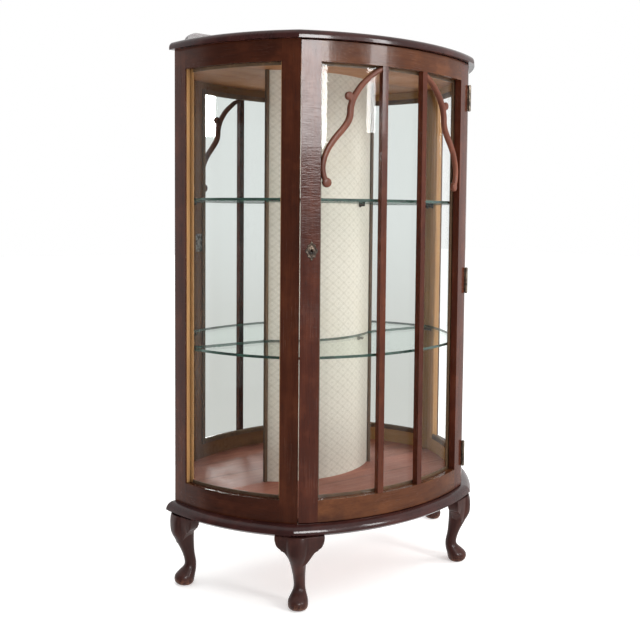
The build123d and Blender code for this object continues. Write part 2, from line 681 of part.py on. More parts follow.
# ---------------------------------------------------------------- lock
LOCK_S = LOCK_INSET - FRONT.half
LOCK_Z = CASE_BOTTOM + LOCK_HEIGHT
LOCK_BACK_Y = FRONT_FACE_Y + DOOR_THICKNESS
LOCK_FRONT_Y = LOCK_BACK_Y - LOCK_THICKNESS
BOLT_Y = LOCK_FRONT_Y + LOCK_THICKNESS / 2
BOLT_Z = LOCK_Z + BOLT_RISE


def rebate_x():
    """The side of the glass's rebate at the door's back, in the frame of the middle of the front."""
    turn = (DOOR_STILE - REBATE - LOCK_INSET) / FRONT.radius
    return (FRONT.radius - DOOR_THICKNESS) * math.sin(turn)


def bolt_end_x():
    """Where the withdrawn bolt ends, in the frame of the middle of the front."""
    lock_angle = LOCK_S / FRONT.radius
    corner_angle = -FRONT.half_angle - lock_angle
    corner_x = FRONT.radius * math.sin(corner_angle)
    corner_y = FRONT.y - FRONT.radius * math.cos(corner_angle)
    seam = math.pi - SEAM_HEADING + math.pi - lock_angle
    depth = BOLT_Y + BOLT_THICKNESS / 2 - corner_y
    across = corner_x + depth / math.tan(seam)
    return across + SEAM_HALF_GAP + BOLT_REST_SETBACK


def bolt_shape(grow, extra):
    end = bolt_end_x()
    half_y = BOLT_THICKNESS / 2 + grow
    half_z = BOLT_TALL / 2 + grow
    return block(end - extra, end + BOLT_LENGTH + grow, BOLT_Y - half_y, BOLT_Y + half_y,
                 BOLT_Z - half_z, BOLT_Z + half_z)


def keyhole(y0, y1):
    middle = (y0 + y1) / 2
    bore = Pos(0, middle, LOCK_Z) * Rot(90, 0, 0) * Cylinder(KEYHOLE_RADIUS, y1 - y0)
    slot = block(-KEYHOLE_SLOT / 2, KEYHOLE_SLOT / 2, y0, y1, LOCK_Z - KEYHOLE_DROP, LOCK_Z)
    return bore + slot


def escutcheon_outline():
    """A shaped plate: a wide middle, waisted shoulders and small rounded ends."""
    half_w, half_h = ESCUTCHEON_WIDTH / 2, ESCUTCHEON_HEIGHT / 2
    plate = Ellipse(half_w * 0.8, half_h * 0.78)
    for turn in (1, -1):
        plate += Pos(0, turn * half_h * 0.78) * Circle(half_h * 0.22)
        plate += Pos(0, turn * half_h * 0.45) * Rectangle(half_w * 0.7, half_h * 0.5)
        plate += Pos(turn * half_w * 0.78, 0) * Circle(half_w * 0.22)
        for rise in (1, -1):
            plate += Pos(turn * half_w * 0.62, rise * half_h * 0.42) * Circle(half_w * 0.24)
    return plate


def escutcheon_pins():
    reach = ESCUTCHEON_HEIGHT * 0.39
    length = 7.0
    pins = []
    for rise in (reach, -reach):
        shank = Rot(90, 0, 0) * Cylinder(ESCUTCHEON_PIN_RADIUS, length)
        shank = Pos(0, FRONT_FACE_Y - ESCUTCHEON_THICKNESS + length / 2, LOCK_Z + rise) * shank
        head = Sphere(ESCUTCHEON_PIN_RADIUS * 1.6)
        head = Pos(0, FRONT_FACE_Y - ESCUTCHEON_THICKNESS, LOCK_Z + rise) * head
        outside = block(-BIG, BIG, -BIG, FRONT_FACE_Y - ESCUTCHEON_THICKNESS, 0, BIG)
        pins.append(shank + (head & outside))
    return pins


def make_lock():
    """Returns the cuts for the door's lock stile and for the left post."""
    half_h = LOCK_TALL / 2
    x1 = rebate_x() - LOCK_FIT
    x0 = x1 - LOCK_WIDTH
    case = block(x0, x1, LOCK_FRONT_Y, LOCK_BACK_Y, LOCK_Z - half_h, LOCK_Z + half_h)
    pocket = block(x0, x1, LOCK_FRONT_Y, LOCK_BACK_Y + DOOR_THICKNESS, LOCK_Z - half_h, LOCK_Z + half_h)
    channel = bolt_shape(BOLT_CLEARANCE, DOOR_STILE)
    case = case - channel - keyhole(LOCK_FRONT_Y - 1, BOLT_Y + BOLT_THICKNESS / 2)
    plate = extrude(Plane.XZ * escutcheon_outline(), amount=ESCUTCHEON_WIDTH, both=True)
    plate = Pos(0, FRONT_FACE_Y, LOCK_Z) * plate
    low, high = LOCK_Z - ESCUTCHEON_HEIGHT, LOCK_Z + ESCUTCHEON_HEIGHT
    skin = post(FRONT.x, FRONT.y, FRONT.radius + ESCUTCHEON_THICKNESS, low, high)
    skin = skin - post(FRONT.x, FRONT.y, FRONT.radius, low, high)
    front = FRONT_FACE_Y - DOOR_THICKNESS
    plate = (plate & skin) - keyhole(front, LOCK_FRONT_Y)
    pins = escutcheon_pins()
    for pin in pins:
        plate = plate - pin
    keep("lock_case", on_front(case, LOCK_S))
    keep("lock_bolt", on_front(bolt_shape(0, 0), LOCK_S))
    keep("escutcheon", on_front(plate, LOCK_S))
    keep("escutcheon_pins", group([on_front(pin, LOCK_S) for pin in pins]))
    door_cuts = [pocket, channel, keyhole(front, LOCK_FRONT_Y + 1)] + pins
    mortise = bolt_shape(BOLT_CLEARANCE, BOLT_TRAVEL + 2)
    return [on_front(cut, LOCK_S) for cut in door_cuts], [on_front(mortise, LOCK_S)]


# ---------------------------------------------------------------- door
def fret_band(points, width):
    """A flat band of even width along a smooth line through the points."""
    line = Spline(*points)
    steps = 48
    left, right = [], []
    for index in range(steps + 1):
        at = line.position_at(index / steps)
        along = line.tangent_at(index / steps)
        normal = Vector(-along.Y, along.X)
        left.append(at + normal * (width / 2))
        right.append(at - normal * (width / 2))
    return make_face([Spline(*left), Line(left[-1], right[-1]), Spline(*right), Line(right[0], left[0])])


def make_fret(opening_half, opening_top):
    """The right-hand scroll: from the bar's top, round a spur, to the stile and a ball end."""
    bar = BAR_OFFSET + BAR_WIDTH / 2
    start = bar - FRET_START
    reach = opening_half - start

    def flat(place):
        share, drop = place
        return FRONT.radius * math.sin((start + share * reach) / FRONT.radius), opening_top - drop

    band = fret_band([flat(place) for place in FRET_LINE], FRET_WIDTH)
    shape = extrude(Plane.XZ * band, amount=-BIG)
    for place, radius in ((FRET_BALL, FRET_BALL_RADIUS), (FRET_SPUR, FRET_SPUR_RADIUS)):
        x, z = flat(place)
        shape = shape + extrude(Plane.XZ * (Pos(x, z) * Circle(radius)), amount=-BIG)
    shape = Pos(0, -BIG / 2, 0) * shape
    low = opening_top - FRET_BALL[1] - 2 * FRET_BALL_RADIUS
    wall = arc_block(FRONT, bar, opening_half, -FRET_FACE_DEPTH, -FRET_BACK_DEPTH, low, opening_top)
    return shape & wall


def make_door(stile_cuts, lock_cuts):
    half = FRONT.half - DOOR_STILE
    z0 = CASE_BOTTOM + DOOR_BOTTOM_RAIL
    z1 = CASE_TOP - DOOR_TOP_RAIL
    rebate = rebate_cut(FRONT, -half, half, z0, z1, DOOR_GLASS_DEPTH, DOOR_THICKNESS)
    stile = arc_block(FRONT, half, FRONT.half + DOOR_STILE, 0, -DOOR_THICKNESS, DOOR_BOTTOM, DOOR_TOP)
    stile = (stile & door_side(SEAM_HALF_GAP)) - rebate
    hinge_stile = stile
    for cut in stile_cuts:
        hinge_stile = hinge_stile - cut
    lock_stile = mirror(stile, about=Plane.YZ)
    for cut in lock_cuts:
        lock_stile = lock_stile - cut
    keep("door_hinge_stile", hinge_stile)
    keep("door_lock_stile", lock_stile)
    keep("door_top_rail", arc_block(FRONT, -half, half, 0, -DOOR_THICKNESS, z1, DOOR_TOP) - rebate)
    keep("door_bottom_rail", arc_block(FRONT, -half, half, 0, -DOOR_THICKNESS, DOOR_BOTTOM, z0) - rebate)
    bar = arc_block(FRONT, BAR_OFFSET - BAR_WIDTH / 2, BAR_OFFSET + BAR_WIDTH / 2,
                    -BAR_SETBACK, -DOOR_GLASS_DEPTH, z0, z1)
    both_sides("door_bar", bar)
    both_sides("door_fret", make_fret(half, z1))
    keep("door_glass", glass_pane(FRONT, -half, half, z0, z1, DOOR_GLASS_DEPTH))
    keep("door_beads", glass_beads(FRONT, -half, half, z0, z1, DOOR_GLASS_DEPTH))


# ---------------------------------------------------------------- the whole cabinet
def main():
    make_top()
    make_boards()
    make_legs()
    hinge_cuts = make_hinges()
    lock_stile_cuts, left_post_cuts = make_lock()
    make_sides(hinge_cuts["case"], left_post_cuts)
    bead_end = make_back()
    make_shelves(bead_end)
    make_door(hinge_cuts["door"], lock_stile_cuts)
    os.makedirs("parts", exist_ok=True)
    for name, shape in nodes.items():
        export_step(shape, f"parts/{name}.step")
    slide = LOCK_S / FRONT.radius
    axis = hinge_frame(0).position
    print("nodes", len(nodes))
    print("hinge axis", round(axis.X, 4), round(axis.Y, 4))
    print("bolt slide", round(-math.cos(slide), 6), round(-math.sin(slide), 6))


main()
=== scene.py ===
import json
import math
import bpy
from mathutils import Matrix, Vector


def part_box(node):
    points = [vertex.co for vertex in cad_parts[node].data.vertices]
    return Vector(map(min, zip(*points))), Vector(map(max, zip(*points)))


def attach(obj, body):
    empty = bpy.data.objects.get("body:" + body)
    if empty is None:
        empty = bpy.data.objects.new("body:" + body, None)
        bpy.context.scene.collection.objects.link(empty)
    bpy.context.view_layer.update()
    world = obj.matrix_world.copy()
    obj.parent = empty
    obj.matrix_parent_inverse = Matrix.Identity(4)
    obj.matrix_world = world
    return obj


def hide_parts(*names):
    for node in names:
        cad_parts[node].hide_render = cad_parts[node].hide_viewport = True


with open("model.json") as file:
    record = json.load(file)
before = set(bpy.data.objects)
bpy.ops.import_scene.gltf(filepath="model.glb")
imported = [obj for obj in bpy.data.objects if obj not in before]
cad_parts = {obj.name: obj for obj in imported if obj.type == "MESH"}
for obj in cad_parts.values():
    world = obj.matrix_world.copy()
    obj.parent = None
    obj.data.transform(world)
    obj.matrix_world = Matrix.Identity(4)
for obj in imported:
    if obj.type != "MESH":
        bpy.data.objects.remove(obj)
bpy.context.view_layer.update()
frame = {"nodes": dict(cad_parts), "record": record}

MM = 0.001

# ---------------------------------------------------------------- plan of the case
FRONT_RADIUS, FRONT_CENTRE, FRONT_HALF = 0.510645, (0.0, 0.354145), 0.2413
SIDE_RADIUS, SIDE_CENTRE, SIDE_HALF = 0.45699, (-0.06975, 0.24228), 0.1608
SIDE_HEADING = math.radians(-28.435)
PANEL_RADIUS, PANEL_CENTRE = 0.23533, (0.0, 0.34583)
CASE_CORNER = (0.2325, -0.1005)
CASE_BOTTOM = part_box("base_moulding")[1].z
CASE_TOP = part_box("top_board")[0].z
LEG_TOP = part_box("leg_front_right")[1].z
BACK_LEG_Y = 0.151
BACK_LEG_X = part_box("leg_back_right")[1].x - 0.024
SHELF_NODES = ("shelf_lower", "shelf_upper")

# The glazed openings: half the door's, the sides' from front to back, and the rails below and above them.
DOOR_OPENING_HALF = 0.1993
SIDE_OPENING_FRONT, SIDE_OPENING_BACK = -0.1208, 0.1218
OPENING_LOW, OPENING_HIGH = CASE_BOTTOM + 0.048, CASE_TOP - 0.044
DOOR_REBATE_DEPTH, SIDE_REBATE_DEPTH = 0.018, 0.016
PAPER_THICKNESS = 0.0006
MIRROR_MIDDLE_Z = 0.676


class Bend:
    """A curved face of the case, which gives points by length along it and offset from it."""

    def __init__(self, centre, radius, heading):
        self.centre, self.radius, self.heading = centre, radius, heading

    def angle(self, along):
        return self.heading + along / self.radius

    def at(self, along, offset, z, side=1):
        reach, turn = self.radius + offset, self.angle(along)
        x = self.centre[0] + reach * math.cos(turn)
        return Vector((side * x, self.centre[1] + reach * math.sin(turn), z))

    def outward(self, along, side=1):
        turn = self.angle(along)
        return Vector((side * math.cos(turn), math.sin(turn), 0))


FRONT = Bend(FRONT_CENTRE, FRONT_RADIUS, -math.pi / 2)
SIDE = Bend(SIDE_CENTRE, SIDE_RADIUS, SIDE_HEADING)
PANEL = Bend(PANEL_CENTRE, PANEL_RADIUS, -math.pi / 2)


# ---------------------------------------------------------------- shader writing
class Wire:
    """A shader socket that can be added, multiplied and compared like a number."""

    def __init__(self, finish, socket):
        self.finish, self.socket = finish, socket

    def sum_with(self, operation, *values):
        return self.finish.node("ShaderNodeMath", {"operation": operation}, dict(enumerate(values)))

    def __add__(self, other):
        return self.sum_with("ADD", self, other)

    def __sub__(self, other):
        return self.sum_with("SUBTRACT", self, other)

    def __rsub__(self, other):
        return self.sum_with("SUBTRACT", other, self)

    def __mul__(self, other):
        return self.sum_with("MULTIPLY", self, other)

    def __truediv__(self, other):
        return self.sum_with("DIVIDE", self, other)

    def __pow__(self, other):
        return self.sum_with("POWER", self, other)

    __radd__ = __add__
    __rmul__ = __mul__

    def above(self, level):
        return self.sum_with("GREATER_THAN", self, level)

    def size(self):
        return self.sum_with("ABSOLUTE", self)

    def fraction(self):
        return self.sum_with("FRACT", self)

    def ramp(self, low, high, start=0.0, end=1.0):
        """Goes smoothly from start at low to end at high, and stays there."""
        settings = {"interpolation_type": "SMOOTHSTEP"}
        values = {"Value": self, "From Min": low, "From Max": high, "To Min": start, "To Max": end}
        return self.finish.node("ShaderNodeMapRange", settings, values)


class Finish:
    """One material and the nodes that make it."""

    def __init__(self, name):
        self.material = bpy.data.materials.new(name)
        self.material.use_nodes = True
        self.tree = self.material.node_tree
        self.tree.nodes.clear()
        self.place = self.node("ShaderNodeTexCoord", output="Object")

    def node(self, kind, settings=None, values=None, output=0):
        made = self.tree.nodes.new(kind)
        for key, value in (settings or {}).items():
            if key == "stops":
                self.set_stops(made.color_ramp, value)
            else:
                setattr(made, key, value)
        for key, value in (values or {}).items():
            if isinstance(value, Wire):
                self.tree.links.new(value.socket, made.inputs[key])
            else:
                made.inputs[key].default_value = value
        return Wire(self, made.outputs[output]) if made.outputs else None

    def set_stops(self, ramp, stops):
        while len(ramp.elements) < len(stops):
            ramp.elements.new(0.5)
        for element, (position, colour) in zip(ramp.elements, stops):
            element.position = position
            element.color = (*colour, 1)

    def turned(self, rotation, scale=(1, 1, 1), shift=(0, 0, 0)):
        values = {"Vector": self.place, "Rotation": rotation, "Scale": scale, "Location": shift}
        return self.node("ShaderNodeMapping", None, values)

    def noise(self, vector, scale, detail=3.0, roughness=0.5):
        values = {"Vector": vector, "Scale": scale, "Detail": detail, "Roughness": roughness}
        return self.node("ShaderNodeTexNoise", None, values)

    def stretched(self, vector, scales, detail=3.0, roughness=0.5):
        squeezed = self.node("ShaderNodeMapping", None, {"Vector": vector, "Scale": scales})
        return self.noise(squeezed, 1.0, detail, roughness)

    def colours(self, factor, stops):
        return self.node("ShaderNodeValToRGB", {"stops": stops}, {"Fac": factor})

    def tint(self, factor, first, second):
        settings = {"data_type": "RGBA", "clamp_factor": True}
        values = {0: factor}
        for key, colour in ((6, first), (7, second)):
            values[key] = colour if isinstance(colour, Wire) else (*colour, 1)
        return self.node("ShaderNodeMix", settings, values, output=2)

    def bump(self, height, distance, strength=1.0, under=None):
        values = {"Height": height, "Distance": distance, "Strength": strength}
        if under is not None:
            values["Normal"] = under
        return self.node("ShaderNodeBump", None, values)

    def axes(self):
        """The x, y and z of a place on the piece."""
        split = self.node("ShaderNodeSeparateXYZ", None, {"Vector": self.place})
        outputs = split.socket.node.outputs
        return [Wire(self, outputs[index]) for index in range(3)]

    def surface(self, **sockets):
        """A Principled shader, whose sockets are named with underscores for their spaces."""
        values = {key.replace("_", " "): value for key, value in sockets.items()}
        return self.node("ShaderNodeBsdfPrincipled", None, values)

    def done(self, shader):
        self.node("ShaderNodeOutputMaterial", None, {"Surface": shader})
        return self.material


# ---------------------------------------------------------------- finishes
GRAIN_TURNS = {
    "across": (0, 0, 0),
    "upright": (0, math.pi / 2, 0),
    "right_side": (0, 0, -(math.pi / 2 + SIDE_HEADING)),
    "left_side": (0, 0, math.pi / 2 + SIDE_HEADING),
}


def polished_mahogany(name, tones, grain, coat, gloss=0.15, ripple=1.0, rub=0.0, inside=None):
    """French-polished mahogany: figured grain, open pores, and a polish that has sunk in ripples.

    Rub is how worn the feet are. Inside is the centre and radius of a bent frame and the depth from its
    face past which its wood was left unpolished.
    """
    finish = Finish(name)
    wood = finish.turned(GRAIN_TURNS[grain])
    broad = finish.stretched(wood, (1.6, 9, 9), 3, 0.55)
    figure = finish.stretched(wood, (4, 46, 46), 4, 0.6)
    fine = finish.stretched(wood, (14, 330, 330), 3, 0.6)
    pores = finish.stretched(wood, (38, 900, 900), 2, 0.5).ramp(0.60, 0.72)
    mottle = finish.noise(wood, 17, 3, 0.6)
    mix = broad * 0.42 + figure * 0.40 + fine * 0.18
    colour = finish.colours(mix, [(0.30, tones[0]), (0.50, tones[1]), (0.70, tones[2])])
    colour = finish.tint(pores * 0.55, colour, [0.35 * value for value in tones[0]])
    colour = finish.tint(mottle.ramp(0.35, 0.75) * 0.35, colour, tones[0])
    colour = finish.tint(mottle.ramp(0.50, 0.30) * 0.16, colour, [1.35 * value for value in tones[2]])
    x, y, z = finish.axes()
    bare = 0
    if inside:
        (centre_x, centre_y), radius, depth = inside
        aside, back = x.size() - centre_x, y - centre_y
        reach = (aside * aside + back * back) ** 0.5
        bare = reach.ramp(radius - depth, radius - depth - 0.0015)
        pale = finish.colours(mix, [(0.30, GOLD_TONES[0]), (0.50, GOLD_TONES[1]), (0.70, GOLD_TONES[2])])
        colour = finish.tint(bare * 0.92, colour, pale)
    if rub:
        low = z.ramp(0.022, 0.004) * finish.noise(finish.place, 130, 4, 0.7).ramp(0.42, 0.62)
        colour = finish.tint(low * rub, colour, (0.150, 0.062, 0.036))
    waves = finish.stretched(wood, (330, 48, 48), 2, 0.5)
    sunk = finish.stretched(wood, (95, 25, 25), 3, 0.6)
    normal = finish.bump(waves * 0.7 + sunk * 0.8, 0.00016 * ripple)
    normal = finish.bump(pores, 0.00002, 0.6, normal)
    cloud = finish.noise(finish.place, 9, 4, 0.6)
    rough = gloss + 0.13 * cloud.ramp(0.40, 0.72) + 0.10 * pores + 0.06 * fine.ramp(0.45, 0.65)
    shine = 0.10 + 0.45 * coat
    if inside:
        rough, coat = rough + 0.32 * bare, coat * (1 - bare)
    return finish.done(finish.surface(Base_Color=colour, Roughness=rough, Normal=normal,
                                      Coat_Weight=coat, Coat_Roughness=0.06, Specular_IOR_Level=shine))


def bare_wood(name, tones, grain, rough=0.5, joints=None):
    """Thinly finished timber or veneer with an even straight grain. Joints is the width of its boards."""
    finish = Finish(name)
    wood = finish.turned(GRAIN_TURNS[grain])
    broad = finish.stretched(wood, (2.2, 16, 16), 3, 0.55)
    figure = finish.stretched(wood, (7, 110, 110), 4, 0.62)
    fine = finish.stretched(wood, (26, 620, 620), 2, 0.6)
    mix = broad * 0.40 + figure * 0.35 + fine * 0.25
    colour = finish.colours(mix, [(0.32, tones[0]), (0.50, tones[1]), (0.68, tones[2])])
    pores = finish.stretched(wood, (55, 1100, 1100), 2, 0.5).ramp(0.60, 0.74)
    colour = finish.tint(pores * 0.35, colour, [0.5 * value for value in tones[0]])
    if joints:
        y = finish.axes()[1]
        seam = (y / joints + 0.35).fraction()
        gap = (seam - 0.5).size().ramp(0.488, 0.496)
        shade = finish.noise(finish.turned((0, 0, 0), (1.2, 0.9 / joints, 1)), 2.3, 1, 0.5)
        colour = finish.tint(shade.ramp(0.35, 0.65) * 0.35, colour, [0.72 * value for value in tones[1]])
        colour = finish.tint(gap * 0.75, colour, [0.25 * value for value in tones[0]])
    stain = finish.noise(finish.place, 11, 5, 0.65)
    colour = finish.tint(stain.ramp(0.50, 0.80) * 0.30, colour, [0.60 * value for value in tones[0]])
    normal = finish.bump(figure * 0.5 + fine * 0.5, 0.00008)
    roughness = rough + 0.14 * stain.ramp(0.35, 0.70) + 0.08 * pores
    return finish.done(finish.surface(Base_Color=colour, Roughness=roughness, Normal=normal))


def glass_shine(finish, normal=None):
    """How much a pane reflects at each angle, the same from both of its faces."""
    values = {"Blend": 0.5}
    if normal is not None:
        values["Normal"] = normal
    facing = finish.node("ShaderNodeLayerWeight", None, values, output="Facing")
    return 0.014 + 0.60 * facing ** 5


def clear_glass(name, tint, haze, waviness):
    """Thin bent window glass: see-through, with a soft reflection, faint dust and old waviness."""
    finish = Finish(name)
    waves = finish.noise(finish.turned((0, 0, 0), (1, 1, 0.35)), 7, 2, 0.4)
    normal = finish.bump(waves, waviness)
    dust = finish.noise(finish.place, 28, 6, 0.7).ramp(0.52, 0.80) * haze
    through = finish.node("ShaderNodeBsdfTransparent", None, {"Color": (*tint, 1)})
    film = finish.surface(Base_Color=(0.72, 0.72, 0.70, 1), Roughness=0.7)
    see = finish.node("ShaderNodeMixShader", None, {0: dust, 1: through, 2: film})
    shine = finish.surface(Base_Color=(0.96, 0.97, 0.97, 1), Metallic=1.0, Roughness=0.015, Normal=normal)
    glass = finish.node("ShaderNodeMixShader", None, {0: glass_shine(finish, normal), 1: see, 2: shine})
    return finish.done(glass)


def shelf_glass():
    """Plate glass: clear through its faces and dark green through its polished edges."""
    finish = Finish("shelf_glass")
    normal = finish.node("ShaderNodeNewGeometry", output="True Normal")
    split = finish.node("ShaderNodeSeparateXYZ", None, {"Vector": normal})
    upright = Wire(finish, split.socket.node.outputs[2]).size()
    edge = 1 - upright.above(0.5)
    dust = finish.noise(finish.place, 32, 6, 0.7).ramp(0.50, 0.80) * 0.02
    through = finish.node("ShaderNodeBsdfTransparent", None, {"Color": (0.965, 0.988, 0.977, 1)})
    film = finish.surface(Base_Color=(0.62, 0.68, 0.62, 1), Roughness=0.7)
    see = finish.node("ShaderNodeMixShader", None, {0: dust, 1: through, 2: film})
    shine = finish.surface(Base_Color=(0.95, 0.98, 0.96, 1), Metallic=1.0, Roughness=0.02)
    face = finish.node("ShaderNodeMixShader", None, {0: glass_shine(finish) * 0.6, 1: see, 2: shine})
    streak = finish.noise(finish.turned((0, 0, 0), (6, 6, 60)), 4, 4, 0.6)
    tone = finish.colours(streak, [(0.35, (0.010, 0.028, 0.022)), (0.60, (0.024, 0.070, 0.050)),
                                   (0.75, (0.07, 0.15, 0.115))])
    rim = finish.surface(Base_Color=tone, Roughness=0.12, Coat_Weight=0.6)
    return finish.done(finish.node("ShaderNodeMixShader", None, {0: edge, 1: face, 2: rim}))


def silvered_mirror():
    """Silvered glass with foxing near its top and bottom edges."""
    finish = Finish("silvered_mirror")
    spots = finish.noise(finish.place, 190, 3, 0.6).ramp(0.70, 0.76)
    z = finish.axes()[2]
    rim = (z - MIRROR_MIDDLE_Z).size().ramp(0.470, 0.4885)
    age = spots * rim
    colour = finish.tint(age * 0.7, (0.80, 0.825, 0.815), (0.20, 0.17, 0.13))
    rough = 0.012 + 0.30 * age + 0.03 * finish.noise(finish.place, 14, 5, 0.6).ramp(0.60, 0.85)
    return finish.done(finish.surface(Base_Color=colour, Metallic=1.0, Roughness=rough))


def lattice_paper():
    """Cream embossed paper: diamonds drawn in paired lines with a dot in the middle of each."""
    finish = Finish("lattice_paper")
    x, y, z = finish.axes()
    wide, tall = 0.034, 0.0255
    turn = finish.node("ShaderNodeMath", {"operation": "ARCTAN2"}, {0: x, 1: PANEL_CENTRE[1] - y})
    across = turn * PANEL_RADIUS / wide
    up = z / tall
    lines = 0
    for slope in (across + up, across - up):
        away = (slope.fraction() - 0.5).size()
        lines = lines + (away - 0.435).size().ramp(0.065, 0.030)
    first, second = (across + up).fraction() - 0.5, (across - up).fraction() - 0.5
    middle = (first * first + second * second) ** 0.5
    dot = middle.ramp(0.13, 0.07) + (middle - 0.20).size().ramp(0.05, 0.02) * 0.35
    fibres = finish.noise(finish.turned((0, 0, 0), (1, 1, 0.4)), 420, 4, 0.7)
    raised = lines * 0.55 + dot * 0.8
    colour = finish.tint(raised * 0.72, (0.690, 0.645, 0.565), (0.500, 0.455, 0.380))
    colour = finish.tint(fibres.ramp(0.35, 0.70) * 0.25, colour, (0.56, 0.52, 0.43))
    stain = finish.noise(finish.place, 6, 5, 0.6)
    colour = finish.tint(stain.ramp(0.48, 0.80) * 0.30, colour, (0.60, 0.52, 0.38))
    normal = finish.bump(1 - raised, 0.00035, 0.8)
    normal = finish.bump(fibres, 0.00006, 0.6, normal)
    sheen = 0.62 + 0.18 * fibres.ramp(0.3, 0.7)
    return finish.done(finish.surface(Base_Color=colour, Roughness=sheen, Normal=normal))


def old_metal(name, bright, dark, rough, dirt=0.5, bump=0.00006):
    """Cast or rolled metal, bright where it is rubbed and dark where it has tarnished."""
    finish = Finish(name)
    cloud = finish.noise(finish.place, 85, 5, 0.65)
    speck = finish.noise(finish.place, 620, 4, 0.7)
    tarnish = cloud.ramp(dirt - 0.14, dirt + 0.14, 1.0, 0.0)
    colour = finish.tint(tarnish, bright, dark)
    colour = finish.tint(speck.ramp(0.55, 0.75) * 0.4, colour, [0.45 * value for value in dark])
    roughness = rough + 0.28 * tarnish + 0.10 * speck.ramp(0.4, 0.7)
    normal = finish.bump(cloud * 0.5 + speck * 0.5, bump)
    metallic = 1.0 - 0.35 * tarnish
    return finish.done(finish.surface(Base_Color=colour, Metallic=metallic, Roughness=roughness,
                                      Normal=normal))


def studio_floor():
    """A pale floor that is lit a little from within, so that it meets the backdrop without a line."""
    finish = Finish("studio_floor")
    cloud = finish.noise(finish.place, 0.7, 3, 0.5)
    colour = finish.tint(cloud, (0.90, 0.90, 0.895), (0.93, 0.93, 0.925))
    return finish.done(finish.surface(Base_Color=colour, Roughness=0.75, Emission_Color=colour,
                                      Emission_Strength=0.42))


# Dark, middle and light tones of each wood.
PLUM = [(0.016, 0.0052, 0.0050), (0.034, 0.0095, 0.0085), (0.066, 0.018, 0.014)]
LEG_TONES = [(0.020, 0.0068, 0.0058), (0.044, 0.0140, 0.0110), (0.082, 0.028, 0.020)]
SIDE_TONES = [(0.024, 0.0060, 0.0030), (0.054, 0.0135, 0.0058), (0.100, 0.0280, 0.0110)]
DOOR_TONES = [(0.031, 0.0072, 0.0042), (0.068, 0.0160, 0.0080), (0.125, 0.0340, 0.0150)]
RAIL_TONES = [(0.037, 0.0104, 0.0046), (0.082, 0.0250, 0.0096), (0.145, 0.0490, 0.0165)]
FRET_TONES = [(0.070, 0.022, 0.014), (0.145, 0.048, 0.029), (0.230, 0.085, 0.052)]
GOLD_TONES = [(0.300, 0.145, 0.052), (0.440, 0.235, 0.092), (0.580, 0.350, 0.160)]
BEAD_TONES = [(0.060, 0.030, 0.014), (0.110, 0.060, 0.028), (0.190, 0.110, 0.052)]
FLOOR_TONES = [(0.190, 0.056, 0.033), (0.310, 0.102, 0.062), (0.430, 0.170, 0.108)]
CEILING_TONES = [(0.230, 0.078, 0.022), (0.350, 0.135, 0.042), (0.470, 0.210, 0.075)]
BACK_TONES = [(0.170, 0.100, 0.050), (0.270, 0.170, 0.092), (0.360, 0.240, 0.145)]

# Where the polish stops: just past the face of the sides' stiles, and at the glass of the rails and the door.
STILE_INSIDE = (SIDE_CENTRE, SIDE_RADIUS, 0.003)
RAIL_INSIDE = (SIDE_CENTRE, SIDE_RADIUS, SIDE_REBATE_DEPTH + 0.0015)
DOOR_INSIDE = (FRONT_CENTRE, FRONT_RADIUS, DOOR_REBATE_DEPTH + 0.0015)

dark_across = polished_mahogany("dark_mahogany_across", PLUM, "across", 0.25)
dark_legs = polished_mahogany("dark_mahogany_legs", LEG_TONES, "upright", 0.12, gloss=0.30, ripple=0.7,
                              rub=0.9)
side_upright = polished_mahogany("side_mahogany_upright", SIDE_TONES, "upright", 0.12, inside=STILE_INSIDE)
side_rails = {
    hand: polished_mahogany(f"side_mahogany_{hand}_rails", SIDE_TONES, f"{hand}_side", 0.12,
                            inside=RAIL_INSIDE)
    for hand in ("right", "left")
}
door_upright = polished_mahogany("door_mahogany_upright", DOOR_TONES, "upright", 0.15, ripple=2.2,
                                 inside=DOOR_INSIDE)
door_across = polished_mahogany("door_mahogany_across", RAIL_TONES, "across", 0.15, inside=DOOR_INSIDE)
fret_wood = polished_mahogany("fret_mahogany", FRET_TONES, "upright", 0.08, gloss=0.34, ripple=0.5)
golden_upright = bare_wood("golden_beading", GOLD_TONES, "upright", 0.42)
brown_bead = bare_wood("panel_beading", BEAD_TONES, "upright", 0.45)
floor_veneer = bare_wood("floor_veneer", FLOOR_TONES, "across", 0.50, joints=0.105)
ceiling_ply = bare_wood("ceiling_ply", CEILING_TONES, "across", 0.45)
back_ply = bare_wood("back_ply", BACK_TONES, "upright", 0.60)
window_glass = clear_glass("window_glass", (0.985, 0.989, 0.986), 0.016, 0.0002)
plate_glass = shelf_glass()
mirror = silvered_mirror()
paper = lattice_paper()
brass = old_metal("tarnished_brass", (0.235, 0.195, 0.150), (0.048, 0.036, 0.028), 0.34)
dark_brass = old_metal("blackened_brass", (0.080, 0.060, 0.046), (0.022, 0.016, 0.013), 0.34)
iron = old_metal("lock_iron", (0.30, 0.29, 0.28), (0.060, 0.050, 0.044), 0.38)
bronze = old_metal("peg_bronze", (0.085, 0.068, 0.050), (0.018, 0.014, 0.012), 0.24)


def finish_for(node, slot):
    """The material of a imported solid, from its slot and the way its grain runs."""
    if slot == "side_mahogany":
        return side_rails[node.rsplit("_", 1)[1]] if "rail" in node else side_upright
    if slot == "door_mahogany":
        return door_across if "rail" in node else door_upright
    return {
        "dark_mahogany": dark_across,
        "bare_wood": golden_upright,
        "floor_veneer": floor_veneer,
        "ceiling_ply": ceiling_ply,
        "back_ply": back_ply,
        "window_glass": window_glass,
        "shelf_glass": plate_glass,
        "silvered_mirror": mirror,
        "lattice_paper": paper,
        "tarnished_brass": brass,
        "lock_iron": iron,
        "peg_bronze": bronze,
    }[slot]


